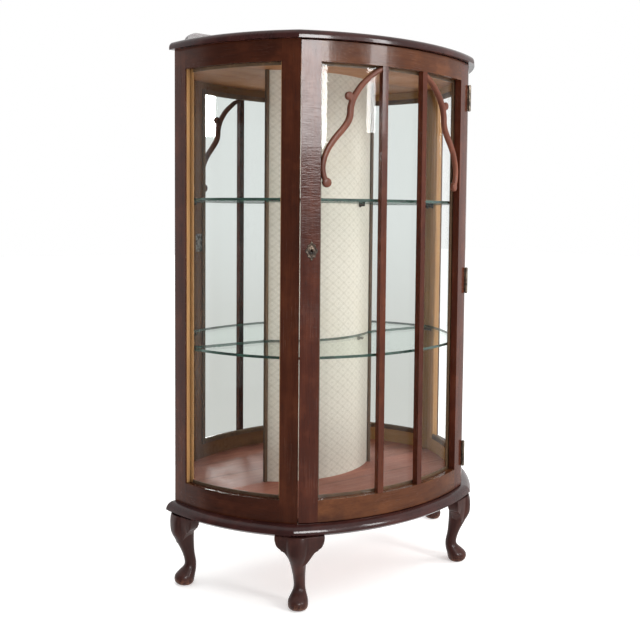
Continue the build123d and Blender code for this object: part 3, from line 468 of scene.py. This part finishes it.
for part in frame["record"]["subparts"]:
    solid = frame["nodes"][part["node"]]
    solid.data.materials.clear()
    solid.data.materials.append(finish_for(part["node"], part["material_slot"]))
frame["nodes"]["centre_panel_beads"].data.materials[0] = brown_bead


# ---------------------------------------------------------------- mesh making
def carved(piece, voxel, rounds):
    """Melts the skins of a piece into one carved surface and eases its arrises."""
    melt = piece.modifiers.new("melt", "REMESH")
    melt.mode, melt.voxel_size, melt.use_smooth_shade = "VOXEL", voxel, True
    ease = piece.modifiers.new("ease", "SMOOTH")
    ease.factor, ease.iterations = 0.5, rounds
    bpy.context.view_layer.update()
    graph = bpy.context.evaluated_depsgraph_get()
    mesh = bpy.data.meshes.new_from_object(piece.evaluated_get(graph))
    piece.modifiers.clear()
    piece.data = mesh


def make_piece(name, skin, material, body, smooth=True, carving=None):
    """A piece from its points and faces. Carving is the voxel and the rounds of easing of a carved one."""
    points, faces = skin
    mesh = bpy.data.meshes.new(name)
    mesh.from_pydata(points, [], faces)
    mesh.validate()
    mesh.polygons.foreach_set("use_smooth", [smooth] * len(mesh.polygons))
    mesh.materials.append(material)
    piece = bpy.data.objects.new(name, mesh)
    bpy.context.scene.collection.objects.link(piece)
    if carving:
        carved(piece, *carving)
    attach(piece, body)
    return piece


def loft(rings):
    """Points and faces of a closed skin over rings of the same count, with both ends capped."""
    count = len(rings[0])
    points = [point for ring in rings for point in ring]
    faces = []
    for row in range(len(rings) - 1):
        low, high = row * count, (row + 1) * count
        for index in range(count):
            after = (index + 1) % count
            faces.append((low + index, low + after, high + after, high + index))
    last = (len(rings) - 1) * count
    faces.append(tuple(reversed(range(count))))
    faces.append(tuple(last + index for index in range(count)))
    return points, faces


def outward(points, faces):
    """Turns the faces round if the closed skin they make is inside out."""
    volume = 0.0
    for face in faces:
        first = Vector(points[face[0]])
        for index in range(1, len(face) - 1):
            volume += first.dot(Vector(points[face[index]]).cross(Vector(points[face[index + 1]])))
    return faces if volume > 0 else [tuple(reversed(face)) for face in faces]


def joined(shells):
    """Several closed skins as one list of points and faces."""
    points, faces = [], []
    for shell_points, shell_faces in shells:
        base = len(points)
        points += list(shell_points)
        faces += [tuple(base + index for index in face) for face in outward(shell_points, shell_faces)]
    return points, faces


def smooth_path(places, steps):
    """A Catmull-Rom line through the places, with so many steps between each two."""
    ends = [places[0]] + list(places) + [places[-1]]
    path = []
    for index in range(1, len(ends) - 2):
        p0, p1, p2, p3 = (Vector(ends[index + shift]) for shift in (-1, 0, 1, 2))
        for step in range(steps):
            t = step / steps
            path.append(0.5 * (2 * p1 + (p2 - p0) * t + (2 * p0 - 5 * p1 + 4 * p2 - p3) * t ** 2
                               + (3 * p1 - p0 - 3 * p2 + p3) * t ** 3))
    path.append(Vector(places[-1]))
    return path


# ---------------------------------------------------------------- cabriole legs
# Down the leg in mm: height, reach outwards, reach inwards, half width, and how square it is there.
LEG_STATIONS = [
    (161, 20, 28, 25, 3.2), (150, 23.2, 28, 24.8, 3.0), (136, 24, 28, 24, 2.8), (118, 22, 27, 21, 2.5),
    (96, 10.5, 27.5, 16.5, 2.3), (70, -2, 29.5, 13.4, 2.1), (49, -8, 33.4, 12.4, 2.0),
    (38, -6, 34, 13.2, 2.0), (28, 6, 32.8, 17.2, 2.0), (20, 14.2, 30.6, 20.8, 2.0),
    (13, 16, 29, 21.6, 2.0), (6, 14.5, 27.6, 20.9, 2.0), (1.5, 10, 25, 18.6, 2.0), (0, 6, 22, 16, 2.0),
]


def leg_skin(spot, heading):
    """A knee, a slender ankle and a pad foot, about an upright line at the spot."""
    out = Vector((math.cos(heading), math.sin(heading), 0))
    wide = Vector((-out.y, out.x, 0))
    rings = []
    for height, reach, back, half, square in smooth_path(LEG_STATIONS, 5):
        middle, depth = (reach - back) / 2, (reach + back) / 2
        ring = []
        for index in range(48):
            turn = 2 * math.pi * index / 48
            cos, sin = math.cos(turn), math.sin(turn)
            along = middle + depth * math.copysign(abs(cos) ** (2 / square), cos)
            aside = half * math.copysign(abs(sin) ** (2 / square), sin)
            place = Vector((*spot, 0)) + out * along * MM + wide * aside * MM
            ring.append((place.x, place.y, min(max(height, 0), 161) * MM))
        rings.append(ring)
    return loft(rings)


# In mm, how far an ear stands out at its tip, the run over which it swells to the knee, and its back face.
EAR_FACE, EAR_RUN = 16.5, 46
EAR_BACK = -11

# Distance from the ear's tip and how far the bracket hangs there, in mm.
EAR_LINE = [(0, 9), (0.8, 14), (2.5, 20), (5.5, 25.5), (9.5, 29), (12, 30.2), (12.6, 33.2), (16, 34),
            (20, 37), (25, 44), (30, 52), (36, 60), (44, 66), (56, 68)]


def ear_skin(bend, tip, direction, side, knee_face, length):
    """The shaped bracket beside a knee, as far as its length: its face swells towards the knee."""
    rings = []
    for away, drop in EAR_LINE:
        if away > length:
            break
        along = tip + direction * away * MM
        swell = min(away / EAR_RUN, 1.0)
        ring = []
        for share in (0, 0.12, 0.3, 0.5, 0.7, 0.88, 1.0):
            bulge = math.sin(math.pi * (0.18 + 0.72 * share)) ** 0.8
            flat = EAR_FACE + (knee_face - EAR_FACE) * swell ** 1.2
            face = flat - 2.5 * (1 - bulge) - 11.0 * share ** 2 * swell
            ring.append(tuple(bend.at(along, face * MM, LEG_TOP - share * drop * MM, side)))
        for share in (1.0, 0.5, 0.0):
            ring.append(tuple(bend.at(along, EAR_BACK * MM, LEG_TOP - share * drop * MM, side)))
        rings.append(ring)
    return loft(rings)


def make_leg(name, side, spot, heading, ears, nodes):
    """A leg and its ears in one carved piece.

    An ear is its bend, where its tip is, its direction, how proud it is at the knee and its length.
    """
    turn = heading if side > 0 else math.pi - heading
    shells = [leg_skin((side * spot[0], spot[1]), turn)]
    shells += [ear_skin(bend, tip, direction, side, knee, length)
               for bend, tip, direction, knee, length in ears]
    leg = make_piece(name, joined(shells), dark_legs, "carcass", carving=(0.0011, 5))
    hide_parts(*nodes)


for side, hand in ((1, "right"), (-1, "left")):
    front_ears = [
        (FRONT, FRONT_HALF - 0.054, 1, 21.5, 56),
        (SIDE, 0.046 - SIDE_HALF, -1, 18.5, 31),
    ]
    make_leg(f"cabriole_leg_front_{hand}", side, CASE_CORNER, math.radians(-45), front_ears,
             [f"leg_front_{hand}", f"knee_bracket_front_{hand}", f"knee_bracket_side_{hand}"])
    back_ears = [(SIDE, SIDE_HALF - 0.074, 1, 21.5, 56)]
    make_leg(f"cabriole_leg_back_{hand}", side, (BACK_LEG_X, BACK_LEG_Y), 0.0, back_ears,
             [f"leg_back_{hand}", f"knee_bracket_back_{hand}"])


# ---------------------------------------------------------------- scroll frets
# The fret's middle line, by length along the door and height above the case's bottom, and its section.
FRET_LINE = [(61, 950), (75, 943), (88, 933), (104, 919), (117, 903), (127, 886), (133, 868), (134.5, 850),
             (140, 836), (152, 820), (166, 804), (179, 786), (188, 768), (193, 748), (192.5, 732),
             (188.5, 718)]
FRET_DEPTH, FRET_RISE = -12, 10
FRET_OUTLINE = [(-0.5, 0.0), (-0.5, 0.62), (-0.40, 0.86), (-0.22, 0.98), (0.0, 1.0), (0.22, 0.98),
                (0.40, 0.86), (0.5, 0.62), (0.5, 0.0)]


def fret_knob(s, z, radius):
    """The rings of a flattened turned boss, about as thick as the fret."""
    rings = []
    for depth, share in ((-12, 0.94), (-11.6, 1.0), (-5.5, 1.0), (-3.4, 0.93), (-2.3, 0.72), (-1.9, 0.35)):
        ring = []
        for index in range(32):
            turn = 2 * math.pi * index / 32
            along, up = s + radius * share * math.cos(turn), z + radius * share * math.sin(turn)
            ring.append((along, depth, up))
        rings.append(ring)
    return rings


def make_fret(side, hand):
    """A bent scroll, widest at its middle, with one boss at its lower end and two at its spur."""
    rings = []
    path = smooth_path(FRET_LINE, 6)
    for index, point in enumerate(path):
        before, after = path[max(index - 1, 0)], path[min(index + 1, len(path) - 1)]
        along = (after - before).normalized()
        aside = Vector((-along.y, along.x))
        share = index / (len(path) - 1)
        width = 11.0 + 3.0 * math.sin(math.pi * share) ** 2
        ring = []
        for across, rise in FRET_OUTLINE:
            place = point + aside * across * width
            ring.append((place.x, FRET_DEPTH + FRET_RISE * rise, place.y))
        rings.append(ring)
    shells = [rings, fret_knob(184.5, 711, 10.0), fret_knob(137.5, 890.5, 8.8), fret_knob(130.5, 884, 7.2)]
    skins = []
    for shell in shells:
        moved = []
        for ring in shell:
            moved.append([tuple(FRONT.at(side * s * MM, offset * MM, CASE_BOTTOM + z * MM))
                          for s, offset, z in ring])
        skins.append(loft(moved))
    fret = make_piece(f"scroll_fret_{hand}", joined(skins), fret_wood, "door",
                      carving=(0.0008, 3))
    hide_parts(f"door_fret_{hand}")


make_fret(1, "right")
make_fret(-1, "left")


# ---------------------------------------------------------------- lock plate
LOCK_S, LOCK_Z = -0.2169, 0.7535
PLATE_WIDE, PLATE_TALL, KEYHOLE_RADIUS, KEYHOLE_DROP = 11.2, 17.0, 2.3, 4.6


def make_lock_plate():
    """A pierced and scrolled plate with a raised rim round its keyhole."""
    count = 144
    rings = []
    # From the plate's edge, 0, to its keyhole, 1, and how high it stands there in mm.
    profile = ((0.0, 0.0), (0.0, 0.7), (0.05, 1.15), (0.16, 1.2), (0.24, 0.75), (0.62, 0.7),
               (0.70, 1.15), (0.86, 1.2), (1.0, 0.9), (1.0, 0.0))
    for inwards, height in profile:
        ring = []
        for index in range(count):
            turn = 2 * math.pi * index / count
            lobes = 1 + 0.10 * math.cos(8 * turn) + 0.07 * math.cos(4 * turn)
            wide, tall = PLATE_WIDE * lobes, PLATE_TALL * lobes
            edge = Vector((wide * math.cos(turn), tall * math.sin(turn)))
            low = max(0.0, -math.sin(turn)) ** 6
            hole = Vector((KEYHOLE_RADIUS * math.cos(turn) * (1 - 0.35 * low),
                           KEYHOLE_RADIUS * math.sin(turn) - KEYHOLE_DROP * low))
            place = edge.lerp(hole, inwards)
            ring.append(tuple(FRONT.at(LOCK_S + place.x * MM, height * MM, LOCK_Z + place.y * MM)))
        rings.append(ring)
    points = [point for ring in rings for point in ring]
    faces = []
    for row in range(len(rings)):
        low, high = row * count, (row + 1) % len(rings) * count
        for index in range(count):
            after = (index + 1) % count
            faces.append((low + index, low + after, high + after, high + index))
    skin = points, outward(points, faces)
    plate = make_piece("lock_plate", skin, dark_brass, "door")
    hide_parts("escutcheon")


make_lock_plate()


# ---------------------------------------------------------------- shelf studs
# Distance out from the wood and radius there, and how high the flat under the glass is, in mm.
STUD_PROFILE = [(-3.0, 2.6), (0.0, 2.6), (0.05, 5.4), (1.0, 6.2), (2.4, 6.0), (3.2, 4.8), (3.8, 3.6),
                (8.5, 3.4), (13.2, 3.3), (14.0, 2.7), (14.3, 1.2)]
STUD_TOP = 2.9


def stud_skin(place, out):
    """A stud with a turned collar against the wood and a flat tongue under the glass."""
    wide = Vector((-out.y, out.x, 0))
    up = Vector((0, 0, 1))
    rings = []
    for along, radius in STUD_PROFILE:
        ring = []
        for index in range(24):
            turn = 2 * math.pi * index / 24
            offset = wide * math.cos(turn) * radius + up * min(math.sin(turn) * radius, STUD_TOP)
            ring.append(tuple(place + out * along * MM + offset * MM))
        rings.append(ring)
    return loft(rings)


def make_studs():
    """Six studs under each shelf: two in each side frame and two in the centre panel."""
    shells = []
    for node in SHELF_NODES:
        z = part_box(node)[0].z - 0.003
        for side in (1, -1):
            for along in (-SIDE_HALF + 0.025, SIDE_HALF - 0.026):
                place = SIDE.at(along, -0.020, z, side)
                shells.append(stud_skin(place, -SIDE.outward(along, side)))
            along = side * 0.095
            place = PANEL.at(along, PAPER_THICKNESS, z)
            shells.append(stud_skin(place, PANEL.outward(along)))
    studs = make_piece("shelf_studs", joined(shells), bronze, "carcass")
    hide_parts("shelf_pegs")


make_studs()


# ---------------------------------------------------------------- glazing beads
# A bead's section in mm: how far it reaches into the opening, and how deep behind the glass.
BEAD_REACH, BEAD_UNDER, BEAD_DEPTH = 5.5, 7, 6
BEAD_PROFILE = [(-BEAD_UNDER, 0), (BEAD_REACH, 0), (BEAD_REACH, -2.2), (4.6, -4.2), (2.6, -5.6),
                (0, -BEAD_DEPTH), (-BEAD_UNDER, -BEAD_DEPTH)]


def bead_skins(bend, front, back, face, side):
    """The two upright and then the two level beads of an opening, each rounded towards its middle."""
    skins = []
    for edge, way in ((front, 1), (back, -1)):
        rings = [[tuple(bend.at(edge + way * inward * MM, face + depth * MM, z, side))
                  for inward, depth in BEAD_PROFILE]
                 for z in (OPENING_LOW - BEAD_UNDER * MM, OPENING_HIGH + BEAD_UNDER * MM)]
        skins.append(loft(rings))
    steps = 28
    start, end = front + BEAD_REACH * MM, back - BEAD_REACH * MM
    for edge, way in ((OPENING_LOW, 1), (OPENING_HIGH, -1)):
        rings = []
        for step in range(steps + 1):
            along = start + (end - start) * step / steps
            rings.append([tuple(bend.at(along, face + depth * MM, edge + way * inward * MM, side))
                          for inward, depth in BEAD_PROFILE])
        skins.append(loft(rings))
    return skins


def make_beads():
    """Brown beads all round the door's opening and across the sides, and golden ones up the sides."""
    door_skin = joined(bead_skins(FRONT, -DOOR_OPENING_HALF, DOOR_OPENING_HALF, -DOOR_REBATE_DEPTH, 1))
    beads = make_piece("door_golden_beads", door_skin, brown_bead, "door", smooth=False)
    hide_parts("door_beads")
    uprights, crosses = [], []
    for side in (1, -1):
        strips = bead_skins(SIDE, SIDE_OPENING_FRONT, SIDE_OPENING_BACK, -SIDE_REBATE_DEPTH, side)
        uprights += strips[:2]
        crosses += strips[2:]
    beads = make_piece("side_golden_beads", joined(uprights), golden_upright, "carcass",
                       smooth=False)
    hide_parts("side_beads_left", "side_beads_right")
    make_piece("side_cross_beads", joined(crosses), brown_bead, "carcass", smooth=False)


make_beads()


# ---------------------------------------------------------------- repeated fixings
def fixing_tree(name):
    """Sets a domed head at even steps along each line of the mesh it is given."""
    tree = bpy.data.node_groups.new(name, "GeometryNodeTree")
    face = tree.interface
    face.new_socket("Geometry", in_out="INPUT", socket_type="NodeSocketGeometry")
    for label, default in (("Spacing", 0.12), ("Head Radius", 0.0012), ("Head Height", 0.0005)):
        face.new_socket(label, in_out="INPUT", socket_type="NodeSocketFloat").default_value = default
    face.new_socket("Metal", in_out="INPUT", socket_type="NodeSocketMaterial")
    face.new_socket("Geometry", in_out="OUTPUT", socket_type="NodeSocketGeometry")

    def node(kind, **settings):
        made = tree.nodes.new(kind)
        for key, value in settings.items():
            setattr(made, key, value)
        return made

    def link(first, second):
        tree.links.new(first, second)

    inlet, outlet = node("NodeGroupInput"), node("NodeGroupOutput")
    line = node("GeometryNodeMeshToCurve")
    spread = node("GeometryNodeResampleCurve", mode="LENGTH")
    normal = node("GeometryNodeInputNamedAttribute", data_type="FLOAT_VECTOR")
    normal.inputs["Name"].default_value = "facing"
    to_points = node("GeometryNodeCurveToPoints", mode="EVALUATED")
    turn = node("FunctionNodeAlignRotationToVector", axis="Z")
    head = node("GeometryNodeMeshUVSphere")
    head.inputs["Segments"].default_value, head.inputs["Rings"].default_value = 12, 8
    squash = node("ShaderNodeCombineXYZ")
    ratio = node("ShaderNodeMath", operation="DIVIDE")
    shaped = node("GeometryNodeTransform")
    place = node("GeometryNodeInstanceOnPoints")
    real = node("GeometryNodeRealizeInstances")
    paint = node("GeometryNodeSetMaterial")
    link(inlet.outputs["Geometry"], line.inputs["Mesh"])
    link(line.outputs["Curve"], spread.inputs["Curve"])
    link(inlet.outputs["Spacing"], spread.inputs["Length"])
    link(spread.outputs["Curve"], to_points.inputs["Curve"])
    link(to_points.outputs["Points"], place.inputs["Points"])
    link(inlet.outputs["Head Radius"], head.inputs["Radius"])
    link(inlet.outputs["Head Height"], ratio.inputs[0])
    link(inlet.outputs["Head Radius"], ratio.inputs[1])
    squash.inputs["X"].default_value = squash.inputs["Y"].default_value = 1.0
    link(ratio.outputs[0], squash.inputs["Z"])
    link(head.outputs["Mesh"], shaped.inputs["Geometry"])
    link(squash.outputs["Vector"], shaped.inputs["Scale"])
    link(shaped.outputs["Geometry"], place.inputs["Instance"])
    link(normal.outputs["Attribute"], turn.inputs["Vector"])
    link(turn.outputs["Rotation"], place.inputs["Rotation"])
    link(place.outputs["Instances"], real.inputs["Geometry"])
    link(real.outputs["Geometry"], paint.inputs["Geometry"])
    link(inlet.outputs["Metal"], paint.inputs["Material"])
    link(paint.outputs["Geometry"], outlet.inputs["Geometry"])
    return tree


fixings = fixing_tree("row_of_fixings")


def row_of_fixings(name, lines, spacing, radius, height, metal, body):
    """Heads along lines, each line a list of points and the way that its heads face."""
    points, edges, facing = [], [], []
    for places, out in lines:
        base = len(points)
        points += [tuple(place) for place in places]
        facing += [tuple(out[index] if isinstance(out, list) else out) for index in range(len(places))]
        edges += [(base + index, base + index + 1) for index in range(len(places) - 1)]
    mesh = bpy.data.meshes.new(name)
    mesh.from_pydata(points, edges, [])
    layer = mesh.attributes.new("facing", "FLOAT_VECTOR", "POINT")
    layer.data.foreach_set("vector", [value for direction in facing for value in direction])
    piece = bpy.data.objects.new(name, mesh)
    bpy.context.scene.collection.objects.link(piece)
    rows = piece.modifiers.new("rows", "NODES")
    rows.node_group = fixings
    wanted = {"Spacing": spacing, "Head Radius": radius, "Head Height": height, "Metal": metal}
    for item in fixings.interface.items_tree:
        if item.item_type == "SOCKET" and item.in_out == "INPUT" and item.name in wanted:
            rows[item.identifier] = wanted[item.name]
    bpy.context.view_layer.update()
    graph = bpy.context.evaluated_depsgraph_get()
    result = bpy.data.meshes.new_from_object(piece.evaluated_get(graph))
    piece.modifiers.clear()
    piece.data = result
    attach(piece, body)
    return piece


def bead_lines(bend, front, back, offset, sides):
    """The middle lines of the four beads of an opening, on each of the sides."""
    lines = []
    steps, corner, into_bead = 14, 0.03, 0.0035
    start, end = front - into_bead, back + into_bead
    low, high = OPENING_LOW - into_bead, OPENING_HIGH + into_bead
    for side in sides:
        for along in (start, end):
            ends = [bend.at(along, offset, z, side) for z in (low + corner, high - corner)]
            lines.append((ends, -bend.outward(along, side)))
        for z in (low, high):
            spots = [start + corner + (end - start - 2 * corner) * step / steps for step in range(steps + 1)]
            lines.append(([bend.at(spot, offset, z, side) for spot in spots],
                          [-bend.outward(spot, side) for spot in spots]))
    return lines


BRAD_SPACING, BRAD_RADIUS, BRAD_HEIGHT = 0.11, 0.0009, 0.0003
PIN_SPACING, PIN_RADIUS, PIN_HEIGHT = 0.09, 0.0022, 0.0007

door_lines = bead_lines(FRONT, -DOOR_OPENING_HALF, DOOR_OPENING_HALF, -DOOR_REBATE_DEPTH - 0.006, (1,))
row_of_fixings("door_bead_brads", door_lines, BRAD_SPACING, BRAD_RADIUS, BRAD_HEIGHT, iron, "door")
side_lines = bead_lines(SIDE, SIDE_OPENING_FRONT, SIDE_OPENING_BACK, -SIDE_REBATE_DEPTH - 0.006, (1, -1))
row_of_fixings("side_bead_brads", side_lines, BRAD_SPACING, BRAD_RADIUS, BRAD_HEIGHT, iron, "carcass")

back_low, back_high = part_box("back_panel")
inset = 0.012
left, right = back_low.x + inset, back_high.x - inset
bottom, top = back_low.z + inset, back_high.z - inset
corners = (left, bottom), (right, bottom), (right, top), (left, top)
back_rim = [Vector((x, back_high.y, z)) for x, z in corners]
back_lines = [([back_rim[index], back_rim[(index + 1) % 4]], Vector((0, 1, 0))) for index in range(4)]
row_of_fixings("back_panel_pins", back_lines, PIN_SPACING, PIN_RADIUS, PIN_HEIGHT, iron, "carcass")


# ---------------------------------------------------------------- studio
floor_mesh = bpy.data.meshes.new("studio_floor")
reach = 14.0
floor_mesh.from_pydata([(-reach, -reach, 0), (reach, -reach, 0), (reach, reach, 0), (-reach, reach, 0)],
                       [], [(0, 1, 2, 3)])
floor_mesh.materials.append(studio_floor())
floor = bpy.data.objects.new("studio_floor", floor_mesh)
bpy.context.scene.collection.objects.link(floor)
floor.visible_glossy = False

world = bpy.data.worlds.new("studio")
bpy.context.scene.world = world
world.use_nodes = True
sky = world.node_tree
sky.nodes.clear()
sky_place = sky.nodes.new("ShaderNodeTexCoord")


def sky_share(way, low, high):
    """How far a direction of the sky points along a way, from 0 at low to 1 at high."""
    dot = sky.nodes.new("ShaderNodeVectorMath")
    dot.operation = "DOT_PRODUCT"
    dot.inputs[1].default_value = way
    sky.links.new(sky_place.outputs["Generated"], dot.inputs[0])
    share = sky.nodes.new("ShaderNodeMapRange")
    share.interpolation_type = "SMOOTHSTEP"
    share.inputs["From Min"].default_value, share.inputs["From Max"].default_value = low, high
    sky.links.new(dot.outputs["Value"], share.inputs["Value"])
    return share.outputs[0]


def sky_blend(share, first, second):
    """One colour or blend where the share is 0 and the other where it is 1."""
    mix = sky.nodes.new("ShaderNodeMix")
    mix.data_type = "RGBA"
    sky.links.new(share, mix.inputs[0])
    for key, colour in ((6, first), (7, second)):
        if isinstance(colour, tuple):
            mix.inputs[key].default_value = (*colour, 1)
        else:
            sky.links.new(colour, mix.inputs[key])
    return mix.outputs[2]


# A pale room, in shade to the left of the cabinet, in front of a white backdrop.
pale_wall = sky_blend(sky_share((0, 0, 1), -0.20, 0.02), (0.80, 0.79, 0.765), (0.96, 0.975, 0.97))
shadow_side = sky_blend(sky_share((-0.93, -0.37, 0), 0.40, 0.85), pale_wall, (0.23, 0.22, 0.22))
backdrop = sky_blend(sky_share((0, 1, 0), 0.30, 0.50), shadow_side, (1.0, 1.0, 1.0))
sky_light = sky.nodes.new("ShaderNodeBackground")
sky_out = sky.nodes.new("ShaderNodeOutputWorld")
sky.links.new(backdrop, sky_light.inputs["Color"])
sky.links.new(sky_light.outputs[0], sky_out.inputs["Surface"])


def soft_light(name, place, target, width, height, power, glossy=True, diffuse=True):
    """A rectangular soft light that looks at a point."""
    light = bpy.data.lights.new(name, "AREA")
    light.shape, light.size, light.size_y, light.energy = "RECTANGLE", width, height, power
    lamp = bpy.data.objects.new(name, light)
    lamp.location = place
    lamp.rotation_mode = "QUATERNION"
    lamp.rotation_quaternion = (Vector(target) - Vector(place)).to_track_quat("-Z", "Y")
    lamp.visible_glossy, lamp.visible_diffuse = glossy, diffuse
    bpy.context.scene.collection.objects.link(lamp)


def window(name, yaw, low, high, width, power, diffuse):
    """A tall light in front of the cabinet, which shows in its polish as a window does."""
    turn, middle, away = math.radians(yaw), (low + high) / 2, 5
    place = (away * math.sin(turn), -away * math.cos(turn), middle)
    soft_light(name, place, (0, 0, middle), width, high - low, power, diffuse=diffuse)


window("window_left", -17.0, 1.34, 3.3, 1.55, 240, False)
window("window_right", 20.2, 1.48, 3.6, 0.85, 115, True)
soft_light("fill", (3.6, -1.9, 2.7), (0, 0, 0.6), 2.0, 2.0, 75, glossy=False)
soft_light("overhead", (0, -0.5, 4.2), (0, -0.5, 0), 4.0, 4.0, 45, glossy=False)

view = bpy.context.scene.view_settings
view.view_transform, view.look, view.exposure = "Standard", "None", 0.0

# ---------------------------------------------------------------- camera
# Turns in radians: to the right of straight ahead, upwards, and clockwise.
YAW, PITCH, ROLL = 0.6125, -0.0566, 0.0094
STAND = (-1.1656, -1.5425, 0.8285)
ahead = Vector((math.sin(YAW) * math.cos(PITCH), math.cos(YAW) * math.cos(PITCH), math.sin(PITCH)))
level = Vector((math.cos(YAW), -math.sin(YAW), 0))
above = level.cross(ahead)
across = math.cos(ROLL) * level + math.sin(ROLL) * above
up = math.cos(ROLL) * above - math.sin(ROLL) * level
lens = bpy.data.cameras.new("camera")
lens.lens, lens.sensor_width = 47.2, 36.0
lens.shift_x, lens.shift_y = -0.01828, -0.0902
camera = bpy.data.objects.new("camera", lens)
camera.matrix_world = Matrix.Translation(STAND) @ Matrix((across, up, -ahead)).transposed().to_4x4()
bpy.context.scene.collection.objects.link(camera)
bpy.context.scene.camera = camera
